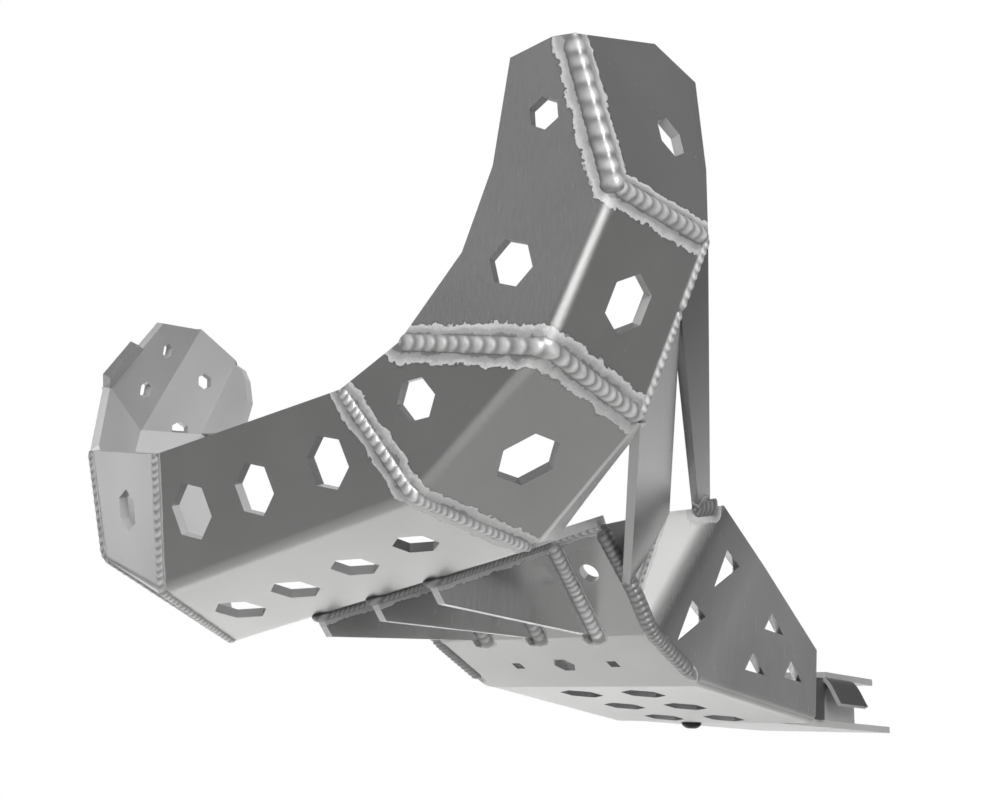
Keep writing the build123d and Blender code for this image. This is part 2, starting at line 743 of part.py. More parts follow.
# Rear bracket on the tongue, drawn from the side: along the tongue and up from its underside
bracket_left = Plane(
    origin=tongue_left,
    x_dir=tongue_step.normalized(),
    z_dir=(-1, 0, 0),
)
bracket_right = Plane(origin=other_side(tongue_left), x_dir=bracket_left.x_dir, z_dir=(-1, 0, 0))
with BuildPart() as rear_cheek_left:
    with BuildSketch(bracket_left):
        with Locations((BRACKET_START, SHEET)):
            Rectangle(BRACKET_LENGTH, BRACKET_HEIGHT, align=(Align.MIN, Align.MIN))
    extrude(amount=-SHEET)
with BuildPart() as rear_cheek_right:
    with BuildSketch(bracket_right):
        with Locations((BRACKET_START, SHEET)):
            Rectangle(BRACKET_LENGTH, BRACKET_HEIGHT, align=(Align.MIN, Align.MIN))
    extrude(amount=SHEET)
with BuildPart() as rear_flange:
    with BuildSketch(bracket_left):
        with Locations((FLANGE_START, BRACKET_TOP)):
            Rectangle(FLANGE_LENGTH, SHEET, align=(Align.MIN, Align.MIN))
    extrude(amount=-TONGUE_WIDTH)

# Hook: a strap that hangs over the left cheek, with a narrow leg in front of the cheek
hook_front = tongue_left + bracket_left.x_dir * (TONGUE_LENGTH - HOOK_FROM_END)
hook_profile = Plane(origin=hook_front, x_dir=bracket_left.z_dir, z_dir=-bracket_left.x_dir)
leg_height = BRACKET_TOP - SHEET
with BuildPart() as rear_hook:
    with BuildSketch(hook_profile):
        with BuildLine():
            Polyline(*HOOK_ARCH, close=True)
        make_face()
    extrude(amount=-HOOK_WIDTH)
    with BuildSketch(bracket_left.offset(-HOOK_SHEET)):
        with Locations((BRACKET_START, SHEET)):
            Rectangle(HOOK_LEG_WIDTH, leg_height, align=(Align.MAX, Align.MIN))
    extrude(amount=2 * HOOK_SHEET)

# Dome-headed bolt through the tongue, with its nut on top
with BuildPart() as base_bolt:
    with BuildSketch(tongue_sheet):
        with Locations((BASE_BOLT_X, BASE_BOLT_BACK)):
            Circle(BOLT_HEAD / 2)
    extrude(amount=BOLT_HEAD_HEIGHT)
    below = Axis(tongue_sheet.origin, tongue_sheet.z_dir)
    rim = base_bolt.faces().sort_by(below)[-1].edges()
    chamfer(rim, length=BOLT_HEAD_HEIGHT - BOLT_RIM, length2=BOLT_CROWN)
    with BuildSketch(tongue_sheet):
        with Locations((BASE_BOLT_X, BASE_BOLT_BACK)):
            Circle(BOLT_DIAMETER / 2)
    extrude(amount=-BOLT_LENGTH)
with BuildPart() as base_nut:
    with BuildSketch(tongue_sheet.offset(-SHEET)):
        with Locations((BASE_BOLT_X, BASE_BOLT_BACK)):
            RegularPolygon(radius=NUT_FLATS / 2, side_count=6, major_radius=False)
            Circle(BOLT_DIAMETER / 2, mode=Mode.SUBTRACT)
    extrude(amount=-NUT_HEIGHT)


# Welds
def past(start, end):
    """The end of a run, carried on by the lap of a weld."""
    return end + (end - start).normalized() * BEAD_LAP


def mitre_weld(index, *plates):
    """The weld around the mitre between two channels, over the ridge."""
    over_front = front_planes[index - 2].z_dir + front_planes[index - 1].z_dir
    over_rear = rear_planes[index - 2].z_dir + rear_planes[index - 1].z_dir
    runs = [
        bead(front_edge[index], past(front_edge[index], ridge[index]), over_front),
        bead(past(rear_edge[index], ridge[index]), rear_edge[index], over_rear),
    ]
    return cut_back(runs, *plates)


def gusset_foot_weld(x, *plates):
    """The weld of a gusset to the nose, round the gusset's lower end."""
    foot = gusset_points(x)[0]
    return cut_back([corner_bead(foot, under_floor(x), GUSSET_BEAD, GUSSET_WRAP)], *plates)


def gusset_top_weld(x, *plates):
    """The weld of a gusset to the guard's floor, round the gusset's tip."""
    bend = gusset_points(x)[2]
    return cut_back([corner_bead(under_floor(x), bend, GUSSET_BEAD, GUSSET_WRAP)], *plates)


def edge_bead(start, end, first, second):
    """A weld run over the outside corner between two faces, sunk into it."""
    step = (first.z_dir + second.z_dir).normalized() * -EDGE_BEAD_SUNK
    rod = corner_bead(start + step, end + step, EDGE_BEAD, EDGE_BEAD_LAP)
    with BuildPart() as before_first:
        add(rod)
        split(bisect_by=first, keep=Keep.TOP)
    with BuildPart() as before_second:
        add(rod)
        split(bisect_by=second, keep=Keep.TOP)
    with BuildPart() as run:
        add(before_first.part)
        add(before_second.part)
    return run.part


def tack(share):
    """A tack weld of the end tab, at a share of the tab's length."""
    with BuildPart() as dot:
        middle = tab_start + (tab_end - tab_start) * share
        with BuildSketch(Plane(origin=middle, z_dir=end_front.z_dir)):
            RegularPolygon(radius=TACK_RADIUS, side_count=BEAD_SIDES)
        extrude(amount=TACK_HEIGHT, taper=TACK_SLOPE)
    return dot.part


with BuildPart() as weld_ridge:
    add(
        cut_back(
            [bead(ridge[0], ridge[1], upper_front.z_dir + side_plane.z_dir)],
            guard_upper_channel,
            guard_side_plate,
        )
    )
with BuildPart() as weld_side_plate:
    add(
        cut_back(
            [
                bead(
                    past(rear_edge[1], ridge[1]),
                    rear_edge[1],
                    upper_rear.z_dir + side_plane.z_dir,
                )
            ],
            guard_upper_channel,
            guard_side_plate,
            weld_ridge,
            strut_rear,
        )
    )
with BuildPart() as weld_mitre_upper:
    add(mitre_weld(2, guard_upper_channel, guard_middle_channel, strut_front))
with BuildPart() as weld_mitre_middle:
    add(mitre_weld(3, guard_middle_channel, guard_lower_channel))
with BuildPart() as weld_mitre_lower:
    add(mitre_weld(4, guard_lower_channel, guard_corner_channel, guard_riser_channel))
with BuildPart() as weld_mitre_corner:
    add(mitre_weld(5, guard_corner_channel, guard_riser_channel, guard_lower_channel, weld_mitre_lower))
with BuildPart() as weld_mitre_end:
    add(mitre_weld(6, guard_riser_channel, guard_end_channel, guard_end_tab))

ramp_corner = along_x(back_of(wing_middle), RAMP_RUN, ramp_rise)
ramp_start = fold_left + (ramp_corner - fold_left).normalized() * EDGE_BEAD_START
wing_runs = [
    edge_bead(ramp_start, ramp_corner, back_of(wing_middle), ramp_plane),
    edge_bead(ramp_corner, nose_corner, back_of(wing_front), nose_plane),
]
with BuildPart() as weld_wing_left:
    add(
        cut_back(
            wing_runs + [edge_bead(nose_corner, floor_left, corner_left, nose_plane)],
            skid_pan,
            corner_plate_left,
            strut_front,
            guard_lower_channel,
        )
    )
with BuildPart() as wing_runs_right:
    add(wing_runs[0])
    add(wing_runs[1])
    mirror(about=Plane.YZ, mode=Mode.REPLACE)
with BuildPart() as weld_wing_right:
    add(cut_back([wing_runs_right.part], skid_pan, guard_lower_channel))
seam_step = wing_front.z_dir * -SEAM_LIFT
with BuildPart() as weld_corner_plate:
    add(
        cut_back(
            [corner_bead(nose_corner + seam_step, wing_front_top + seam_step, SEAM_BEAD, 0)],
            skid_pan,
            corner_plate_left,
            strut_front,
            weld_wing_left,
        )
    )
with BuildPart() as weld_gusset_foot_left:
    add(gusset_foot_weld(-GUSSET_PITCH, skid_pan, gusset_left, guard_lower_channel))
with BuildPart() as weld_gusset_foot_centre:
    add(gusset_foot_weld(0, skid_pan, gusset_centre, guard_lower_channel))
with BuildPart() as weld_gusset_foot_right:
    add(gusset_foot_weld(GUSSET_PITCH, skid_pan, gusset_right, guard_lower_channel))
with BuildPart() as weld_gusset_top_left:
    add(gusset_top_weld(-GUSSET_PITCH, skid_pan, gusset_left, guard_lower_channel, weld_gusset_foot_left))
with BuildPart() as weld_gusset_top_centre:
    add(gusset_top_weld(0, skid_pan, gusset_centre, guard_lower_channel, weld_gusset_foot_centre))
with BuildPart() as weld_gusset_top_right:
    add(gusset_top_weld(GUSSET_PITCH, skid_pan, gusset_right, guard_lower_channel, weld_gusset_foot_right))
with BuildPart() as weld_pan_top:
    add(
        cut_back(
            [corner_bead(floor_left, under_floor(-GUSSET_PITCH), SEAM_BEAD, 0)],
            skid_pan,
            guard_lower_channel,
            corner_plate_left,
            gusset_left,
            weld_wing_left,
            weld_gusset_foot_left,
            weld_gusset_top_left,
        )
    )
with BuildPart() as weld_strut_front:
    add(
        cut_back(
            [corner_bead(strut_split, rear_edge[2], STRUT_BEAD, 0)],
            guard_upper_channel,
            guard_middle_channel,
            strut_front,
            strut_rear,
            weld_mitre_upper,
        )
    )
with BuildPart() as weld_strut_rear:
    add(
        cut_back(
            [corner_bead(rear_edge[1], strut_split, STRUT_BEAD, 0)],
            guard_upper_channel,
            guard_side_plate,
            strut_front,
            strut_rear,
            weld_side_plate,
            weld_strut_front,
        )
    )
with BuildPart() as weld_strut_foot:
    add(
        cut_back(
            [corner_bead(strut_foot_front, strut_foot_rear, SEAM_BEAD, SEAM_LIFT)],
            skid_pan,
            strut_rear,
        )
    )
with BuildPart() as weld_tab_low:
    add(cut_back([tack(TACK_LOW)], guard_end_tab, guard_end_channel, guard_riser_channel, weld_mitre_end))
with BuildPart() as weld_tab_high:
    add(cut_back([tack(TACK_HIGH)], guard_end_tab, guard_end_channel))

PARTS = {
    "skid_pan": skid_pan,
    "corner_plate_left": corner_plate_left,
    "guard_side_plate": guard_side_plate,
    "guard_upper_channel": guard_upper_channel,
    "guard_middle_channel": guard_middle_channel,
    "guard_lower_channel": guard_lower_channel,
    "guard_corner_channel": guard_corner_channel,
    "guard_riser_channel": guard_riser_channel,
    "guard_end_channel": guard_end_channel,
    "guard_end_tab": guard_end_tab,
    "strut_front": strut_front,
    "strut_rear": strut_rear,
    "gusset_left": gusset_left,
    "gusset_centre": gusset_centre,
    "gusset_right": gusset_right,
    "rear_cheek_left": rear_cheek_left,
    "rear_cheek_right": rear_cheek_right,
    "rear_flange": rear_flange,
    "rear_hook": rear_hook,
    "base_bolt": base_bolt,
    "base_nut": base_nut,
    "weld_ridge": weld_ridge,
    "weld_side_plate": weld_side_plate,
    "weld_mitre_upper": weld_mitre_upper,
    "weld_mitre_middle": weld_mitre_middle,
    "weld_mitre_lower": weld_mitre_lower,
    "weld_mitre_corner": weld_mitre_corner,
    "weld_mitre_end": weld_mitre_end,
    "weld_wing_left": weld_wing_left,
    "weld_wing_right": weld_wing_right,
    "weld_corner_plate": weld_corner_plate,
    "weld_gusset_foot_left": weld_gusset_foot_left,
    "weld_gusset_foot_centre": weld_gusset_foot_centre,
    "weld_gusset_foot_right": weld_gusset_foot_right,
    "weld_gusset_top_left": weld_gusset_top_left,
    "weld_gusset_top_centre": weld_gusset_top_centre,
    "weld_gusset_top_right": weld_gusset_top_right,
    "weld_pan_top": weld_pan_top,
    "weld_strut_front": weld_strut_front,
    "weld_strut_rear": weld_strut_rear,
    "weld_strut_foot": weld_strut_foot,
    "weld_tab_low": weld_tab_low,
    "weld_tab_high": weld_tab_high,
}

os.makedirs("parts", exist_ok=True)
for name, built in PARTS.items():
    built.part.label = name
    export_step(built.part, f"parts/{name}.step")
    print(name, len(built.part.solids()), round(built.part.volume))
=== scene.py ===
# %% [markdown]
# # A welded skid plate, dressed for its picture
# The part is a skid pan for a motorcycle, with a guard of folded channels in front of it. The
# solids hold the sheet work. This lesson adds what a solid can't say well: brushed sheet, the
# frosted band that heat leaves beside a weld, and the coin-stack ripple of the weld itself.

import json
import math

import bmesh
import bpy
from mathutils import Matrix, Vector

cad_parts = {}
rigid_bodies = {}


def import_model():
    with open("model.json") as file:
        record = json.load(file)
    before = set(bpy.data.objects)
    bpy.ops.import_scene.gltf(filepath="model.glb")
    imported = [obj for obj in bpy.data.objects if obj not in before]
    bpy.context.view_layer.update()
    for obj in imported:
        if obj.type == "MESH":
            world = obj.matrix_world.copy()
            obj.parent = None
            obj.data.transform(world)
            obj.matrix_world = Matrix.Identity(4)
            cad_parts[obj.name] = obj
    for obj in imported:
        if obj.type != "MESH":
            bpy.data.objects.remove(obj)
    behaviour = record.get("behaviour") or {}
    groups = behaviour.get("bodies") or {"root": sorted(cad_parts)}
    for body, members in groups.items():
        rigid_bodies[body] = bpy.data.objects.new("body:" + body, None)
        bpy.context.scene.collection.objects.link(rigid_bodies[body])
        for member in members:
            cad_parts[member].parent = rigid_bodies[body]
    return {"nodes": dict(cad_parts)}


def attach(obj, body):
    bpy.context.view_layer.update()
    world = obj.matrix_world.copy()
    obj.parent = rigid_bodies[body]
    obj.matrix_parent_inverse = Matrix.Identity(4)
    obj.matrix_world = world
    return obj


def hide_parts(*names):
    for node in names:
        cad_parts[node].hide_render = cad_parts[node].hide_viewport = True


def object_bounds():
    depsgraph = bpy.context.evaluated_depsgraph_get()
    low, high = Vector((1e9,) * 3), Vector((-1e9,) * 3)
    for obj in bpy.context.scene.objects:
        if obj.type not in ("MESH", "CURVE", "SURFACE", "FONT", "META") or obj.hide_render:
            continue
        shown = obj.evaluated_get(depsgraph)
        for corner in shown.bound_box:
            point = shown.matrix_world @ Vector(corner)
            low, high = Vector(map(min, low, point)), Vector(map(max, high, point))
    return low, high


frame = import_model()
nodes = frame["nodes"]
cad_low, cad_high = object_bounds()
print("nodes:", len(nodes), "box:", tuple(cad_low), tuple(cad_high))

# %% [markdown]
# ## The camera
# The picture was taken from the front left, a little below the pan. A camera could be aimed with
# a Track To constraint, but here its axes are known, so they go straight into its matrix.
# Blender's camera looks along its own -Z, with +Y up in the picture.

# %% Camera
PICTURE_WIDTH = 985
FOCAL_PIXELS = 1250
SENSOR_WIDTH = 36
eye = Vector((-0.4937, 0.6701, -0.1154))
to_right = Vector((-0.7636, -0.6371, 0.1048)).normalized()
looking = Vector((0.6285, -0.6961, 0.3471)).normalized()
to_top = to_right.cross(looking).normalized()

scene = bpy.context.scene
camera_data = bpy.data.cameras.new("camera")
camera_data.sensor_width = SENSOR_WIDTH
camera_data.lens = FOCAL_PIXELS * SENSOR_WIDTH / PICTURE_WIDTH
camera = bpy.data.objects.new("camera", camera_data)
scene.collection.objects.link(camera)
turn = Matrix((to_right, to_top, -looking)).transposed()
camera.matrix_world = Matrix.Translation(eye) @ turn.to_4x4()
scene.camera = camera
scene.view_settings.view_transform = "Standard"
print("lens:", round(camera_data.lens, 2), "mm")

# %% [markdown]
# ## Floor, backdrop and sky
# The part hangs free, so the floor lies below it and below the camera. A tall curved sheet of
# white paper stands behind it. The paper is plain white to the camera and in reflections, and to
# all other light it is just pale paper, so it doesn't brighten the metal. The sky is stronger in
# front of the part than behind it, so panels that face forward shine a little more.

# %% Floor, backdrop and sky
WHITE = (1, 1, 1, 1)
PALE_PAPER = (0.84, 0.84, 0.83, 1)
FORWARD = (0, 1, 0)
FLOOR_DROP = 0.34
FLOOR_HALF = 8.0
FLOOR_CORNERS = ((-1, -1), (1, -1), (1, 1), (-1, 1))
FLOOR_ROUGHNESS = 0.8
PAPER_DISTANCE = 6.0
PAPER_HEIGHT = 9.0
PAPER_SPREAD = math.radians(33)
PAPER_STEPS = 24
PAPER_ROUGHNESS = 0.9
PAPER_GLOW = 1.0
SKY_REAR = 0.20
SKY_FRONT = 0.35


def wire(tree, start, end):
    """Join an output socket to an input socket."""
    tree.links.new(start, end)


def new_material(name):
    """A material, its node tree and its shader."""
    material = bpy.data.materials.new(name)
    material.use_nodes = True
    tree = material.node_tree
    return material, tree, tree.nodes["Principled BSDF"]


def stage_piece(name, verts, faces, material):
    """A mesh of the set, which isn't part of the object."""
    mesh = bpy.data.meshes.new(name)
    mesh.from_pydata(verts, [], faces)
    mesh.materials.append(material)
    piece = bpy.data.objects.new(name, mesh)
    scene.collection.objects.link(piece)


pale_floor, _, floor_shader = new_material("pale_floor")
floor_shader.inputs["Base Color"].default_value = PALE_PAPER
floor_shader.inputs["Roughness"].default_value = FLOOR_ROUGHNESS

white_paper, paper_tree, paper_shader = new_material("white_paper")
paper_shader.inputs["Base Color"].default_value = PALE_PAPER
paper_shader.inputs["Roughness"].default_value = PAPER_ROUGHNESS
paper_glow = paper_tree.nodes.new("ShaderNodeEmission")
paper_glow.inputs["Strength"].default_value = PAPER_GLOW
light_path = paper_tree.nodes.new("ShaderNodeLightPath")
seen = light_path.outputs["Is Camera Ray"]
for ray in ("Is Glossy Ray", "Is Transmission Ray"):
    either = paper_tree.nodes.new("ShaderNodeMath")
    either.operation = "MAXIMUM"
    wire(paper_tree, seen, either.inputs[0])
    wire(paper_tree, light_path.outputs[ray], either.inputs[1])
    seen = either.outputs[0]
paper_mix = paper_tree.nodes.new("ShaderNodeMixShader")
wire(paper_tree, seen, paper_mix.inputs[0])
wire(paper_tree, paper_shader.outputs[0], paper_mix.inputs[1])
wire(paper_tree, paper_glow.outputs[0], paper_mix.inputs[2])
wire(paper_tree, paper_mix.outputs[0], paper_tree.nodes["Material Output"].inputs["Surface"])

floor_z = cad_low.z - FLOOR_DROP
floor_verts = [(FLOOR_HALF * x, FLOOR_HALF * y, floor_z) for x, y in FLOOR_CORNERS]
stage_piece("floor", floor_verts, [(0, 1, 2, 3)], pale_floor)
behind = math.atan2(looking.y, looking.x)
paper_verts = []
for step in range(PAPER_STEPS + 1):
    angle = behind + PAPER_SPREAD * (2 * step / PAPER_STEPS - 1)
    x, y = PAPER_DISTANCE * math.cos(angle), PAPER_DISTANCE * math.sin(angle)
    paper_verts += [(x, y, floor_z), (x, y, floor_z + PAPER_HEIGHT)]
paper_faces = [(2 * k, 2 * k + 2, 2 * k + 3, 2 * k + 1) for k in range(PAPER_STEPS)]
stage_piece("backdrop", paper_verts, paper_faces, white_paper)

sky = bpy.data.worlds.new("sky")
scene.world = sky
sky.use_nodes = True
sky_tree = sky.node_tree
sky_light = sky_tree.nodes["Background"]
sky_light.inputs["Color"].default_value = WHITE
sky_place = sky_tree.nodes.new("ShaderNodeTexCoord").outputs["Generated"]
sky_side = sky_tree.nodes.new("ShaderNodeVectorMath")
sky_side.operation = "DOT_PRODUCT"
sky_side.inputs[1].default_value = FORWARD
wire(sky_tree, sky_place, sky_side.inputs[0])
sky_range = sky_tree.nodes.new("ShaderNodeMapRange")
sky_range.inputs["From Min"].default_value = -1
sky_range.inputs["From Max"].default_value = 1
sky_range.inputs["To Min"].default_value = SKY_REAR
sky_range.inputs["To Max"].default_value = SKY_FRONT
wire(sky_tree, sky_side.outputs["Value"], sky_range.inputs["Value"])
wire(sky_tree, sky_range.outputs["Result"], sky_light.inputs["Strength"])
print("floor at z =", round(floor_z, 3))

# %% [markdown]
# ## Lamps
# Bare metal shows what stands around it, so the lamps are large and soft, each with a grid that
# narrows its beam. One hangs over the floor behind on the right: its pool of light on the floor
# shines back from every underside. Another makes a pool in front on the left, which fills the
# broad bright bands along the folds. The third lights the part itself, from above the camera. The
# fourth, on the right, is only a faint fill.

# %% Lamps
# Each row: name, place, aim, width, height, beam in degrees, power in watts
LAMPS = (
    ("rear_lamp", (1.15, -1.00, 1.5), (1.15, -0.95, floor_z), 1.2, 1.2, 88, 17),
    ("front_lamp", (-1.25, 1.00, 1.15), (-1.25, 0.95, floor_z), 1.2, 1.2, 62, 11),
    ("key_lamp", (-1.20, 1.20, 0.55), (-0.12, 0.24, 0.12), 0.9, 0.9, 44, 2.0),
    ("right_lamp", (1.50, 0.55, -0.02), (0.12, 0.29, 0.05), 0.6, 0.4, 60, 0.054),
)


def soft_lamp(name, place, aim, width, height, beam, watts):
    """A flat soft lamp at a place, turned to a point, with a beam of some degrees."""
    data = bpy.data.lights.new(name, "AREA")
    data.shape = "RECTANGLE"
    data.size = width
    data.size_y = height
    data.spread = math.radians(beam)
    data.energy = watts
    lamp = bpy.data.objects.new(name, data)
    scene.collection.objects.link(lamp)
    lamp.location = Vector(place)
    lamp.rotation_euler = (Vector(aim) - Vector(place)).to_track_quat("-Z", "Y").to_euler()
    lamp.visible_camera = False


for row in LAMPS:
    soft_lamp(*row)
print("lamps:", [row[0] for row in LAMPS])

# %% [markdown]
# ## Where the seams run
# The guard's channels meet along mitres. Each mitre starts at the free edge in front, crosses the
# ridge of the fold and ends at the free edge behind. The same points serve the weld beads and the
# heat marks, so they are written once, in metres, from the left end to the right end.

# %% Seam points
SHEET = 0.005
HALF_SHEET = SHEET / 2
RIDGE = [
    Vector((-0.20594, 0.32571, 0.22207)),
    Vector((-0.22100, 0.30700, 0.15300)),
    Vector((-0.18600, 0.29900, 0.08900)),
    Vector((-0.11100, 0.29100, 0.03300)),
    Vector((0.08000, 0.28200, 0.00300)),
    Vector((0.15200, 0.27600, 0.02800)),
    Vector((0.18400, 0.25400, 0.11800)),
]
FRONT_EDGE = [
    Vector((-0.17494, 0.33071, 0.21807)),
    Vector((-0.16400, 0.32200, 0.17100)),
    Vector((-0.11304, 0.31520, 0.09895)),
    Vector((-0.07798, 0.31491, 0.08204)),
    Vector((0.06501, 0.31267, 0.06916)),
    Vector((0.15186, 0.30020, 0.08662)),
    Vector((0.16565, 0.29335, 0.13186)),
]
REAR_EDGE = [
    Vector((-0.20520, 0.22795, 0.25584)),
    Vector((-0.22400, 0.23900, 0.15900)),
    Vector((-0.18274, 0.22300, 0.08360)),
    Vector((-0.11224, 0.20801, 0.03067)),
    Vector((0.12198, 0.19700, -0.00612)),
    Vector((0.12203, 0.19703, -0.00609)),
    Vector((0.17887, 0.20541, 0.12984)),
]
FRONT_FACE = [
    Vector((-0.1828, 0.9583, -0.2197)),
    Vector((-0.1585, 0.9253, -0.3444)),
    Vector((-0.0241, 0.9049, -0.4249)),
    Vector((0.2049, 0.9049, -0.3730)),
    Vector((0.8619, 0.4695, -0.1917)),
    Vector((0.9142, 0.3631, 0.1798)),
]
REAR_FACE = [
    Vector((-0.8776, -0.0036, -0.4795)),
    Vector((-0.5958, 0.0315, -0.8025)),
    Vector((-0.1537, 0.0300, -0.9877)),
    Vector((0.3360, 0.2630, -0.9044)),
    Vector((0.9105, -0.1861, -0.3692)),
    Vector((0.9946, -0.0942, 0.0446)),
]
SIDE_FACE = Vector((-0.9786, 0.0605, 0.1969))
FLOOR_FACE = Vector((-0.1598, -0.4282, -0.8894))
NOSE_FACE = Vector((0.0, 0.6428, -0.7660))
RAMP_FACE = Vector((0.0, 0.3305, -0.9438))
WING_MIDDLE_FACE = Vector((-0.9998, -0.0125, -0.0121))
WING_FRONT_FACE = Vector((-0.9981, -0.0478, -0.0378))
CORNER_FACE = Vector((-0.9978, 0.0662, 0.0052))
STRUT_FRONT_FACE = Vector((-0.8167, -0.4593, -0.3494))
STRUT_REAR_FACE = Vector((-0.8320, -0.4159, -0.3671))
LEFT = Vector((-1.0, 0.0, 0.0))
BACKWARD = Vector((0.0, -1.0, 0.0))
TONGUE_START = 0.160
STRUT_SPLIT = Vector((-0.20749, 0.23260, 0.12884))
STRUT_FOOT = [Vector((-0.08837, 0.02200, 0.10630)), Vector((-0.08750, -0.00300, 0.11490))]
RAMP_START = Vector((-0.08615, 0.01132, 0.00397))
RAMP_CORNER = Vector((-0.08677, 0.05730, 0.02007))
NOSE_CORNER = Vector((-0.08859, 0.08000, 0.03911))
WING_FRONT_TOP = Vector((-0.08967, 0.05950, 0.09340))
FLOOR_LEFT = Vector((-0.08600, 0.11670, 0.06991))
GUSSETS = {
    "left": (
        Vector((-0.044, 0.0573, 0.02007)),
        Vector((-0.044, 0.11099, 0.06512)),
        Vector((-0.044, 0.20481, 0.01995)),
    ),
    "centre": (
        Vector((0.0, 0.0573, 0.02007)),
        Vector((0.0, 0.10500, 0.06009)),
        Vector((0.0, 0.20274, 0.01304)),
    ),
    "right": (
        Vector((0.044, 0.0573, 0.02007)),
        Vector((0.044, 0.09901, 0.05507)),
        Vector((0.044, 0.20067, 0.00613)),
    ),
}


def mitre_runs(index):
    """The two straight runs of one mitre, front then rear."""
    return [(FRONT_EDGE[index], RIDGE[index]), (RIDGE[index], REAR_EDGE[index])]


def mirrored(point):
    """The same point or direction on the motorcycle's other side."""
    return Vector((-point.x, point.y, point.z))


RIDGE_RUN = [(RIDGE[0], RIDGE[1])]
SIDE_RUN = [(RIDGE[1], REAR_EDGE[1])]
STRUT_FRONT_RUN = [(STRUT_SPLIT, REAR_EDGE[2])]
STRUT_REAR_RUN = [(REAR_EDGE[1], STRUT_SPLIT)]
WING_RUN = [(RAMP_START, RAMP_CORNER), (RAMP_CORNER, NOSE_CORNER), (NOSE_CORNER, FLOOR_LEFT)]
WING_RUN_RIGHT = [(mirrored(a), mirrored(b)) for a, b in WING_RUN[:2]]
CORNER_RUN = [(NOSE_CORNER, WING_FRONT_TOP)]
FOOT_RUN = [(STRUT_FOOT[0], STRUT_FOOT[1])]
PAN_TOP_RUN = [(FLOOR_LEFT, GUSSETS["left"][1])]
GUSSET_FOOT_RUNS = [(foot, top) for foot, top, tip in GUSSETS.values()]
GUSSET_TOP_RUNS = [(top, tip) for foot, top, tip in GUSSETS.values()]
WING_BEND = Vector((0.0, 0.0573, 0.0200))
ACROSS_WING_BEND = Vector((0.0, 0.8080, 0.5900))
print("mitres:", len(RIDGE) - 2)

# %% [markdown]
# ## Sheet with heat marks
# Rolled aluminium is a cool grey metal with a fine grain. Beside a weld the arc cleans the oxide,
# which leaves a pale frosted band with a ragged rim. The shader measures how far each point lies
# from the seams of its own piece, in the part's own coordinates, and turns that distance into the
# band. Painted vertices would need a finer mesh than the solids have. Some pieces have a tone of
# their own, which stands in for what they would reflect, and the channels are dull inside.
# The skid pan carries painted highlights on its wings' front facets and the tongue's side edges,
# and painted bright and dark bands along the wings' bends.

# %% Sheet finish
PIPE_MIDDLE = Vector((0.0, 0.25, 0.15))
PAN_MIDDLE = Vector((0.0, -0.06, 0.14))
SHEET_TONE = 0.56
SHEET_SHINE = 0.95
SEAM_TONE = 0.78
STRUT_FRONT_TONE = 0.38
STRUT_REAR_TONE = 0.25
BRACKET_TONE = 0.80
BRACKET_SHINE = 0.45
GUARD_INSIDE = 0.56
RISER_INSIDE = 0.72
INSIDE_SHINE = 0.20
INSIDE_ROUGHNESS = 0.55
CLOUD_SCALE = 14.0
GRAIN_SCALE = 6.0
GRAIN_STRETCH = (160.0, 160.0, 9.0)
GRAIN_SHARE = 0.8
GRAIN_GREY = [(0.25, 0.92), (0.75, 1.0)]
GRAIN_ROUGHNESS = [(0.2, 0.20), (0.8, 0.28)]
FINE_RIM, FINE_REACH = 420.0, 0.8
BROAD_RIM, BROAD_REACH = 110.0, 1.1
MARK_SCALE = 0.8
FROST = [(0.0, 0.40), (0.40, 0.55), (0.60, 0.90), (0.76, 1.0), (0.82, 0.0)]
ETCHED = [(0.02, 0.62), (0.12, 1.0), (0.80, 1.0), (0.83, 0.78), (0.95, 1.0)]
FROST_SPECK = 1500.0
FROST_GREY = [(0.3, 0.64), (0.7, 0.82)]
FROST_SHINE = 0.25
FROST_ROUGHNESS = 0.60
# Painted highlight on the wings' front facets and tongue edges, and painted bands along the bends
PAINTED_HIGHLIGHT_METAL = (0.95, 0.95, 0.94, 1)
PAINTED_HIGHLIGHT_SHINE = 0.10
PAINTED_HIGHLIGHT_ROUGHNESS = 0.50
FACING_SIDE = 0.8
WING_SHIFT = 0.1
WING_STRETCH = 7.0
WING_PAINTED_HIGHLIGHT = [(0.67, 0.0), (0.74, 0.35), (0.80, 1.0)]
WING_PAINTED_BANDS = [(0.12, 1.5), (0.31, 1.65), (0.46, 1.3), (0.60, 1.1), (0.68, 0.75), (0.76, 1.0)]
TONGUE_PAINTED_HIGHLIGHT = 0.6


def grey(level):
    """A neutral colour of one level."""
    return (level, level, level, 1)


def number(tree, operation, first, second=None, clamp=False):
    """A Math node fed by sockets or plain numbers."""
    node = tree.nodes.new("ShaderNodeMath")
    node.operation = operation
    node.use_clamp = clamp
    for socket, value in zip(node.inputs, (first, second)):
        if isinstance(value, bpy.types.NodeSocket):
            wire(tree, value, socket)
        elif value is not None:
            socket.default_value = value
    return node.outputs[0]


def arrow(tree, operation, first, second=None, scale=None):
    """A Vector Math node fed by sockets or plain vectors."""
    node = tree.nodes.new("ShaderNodeVectorMath")
    node.operation = operation
    for socket, value in zip(node.inputs, (first, second)):
        if isinstance(value, bpy.types.NodeSocket):
            wire(tree, value, socket)
        elif value is not None:
            socket.default_value = value
    if scale is not None:
        wire(tree, scale, node.inputs["Scale"])
    is_number = operation in ("DOT_PRODUCT", "DISTANCE")
    return node.outputs["Value"] if is_number else node.outputs["Vector"]


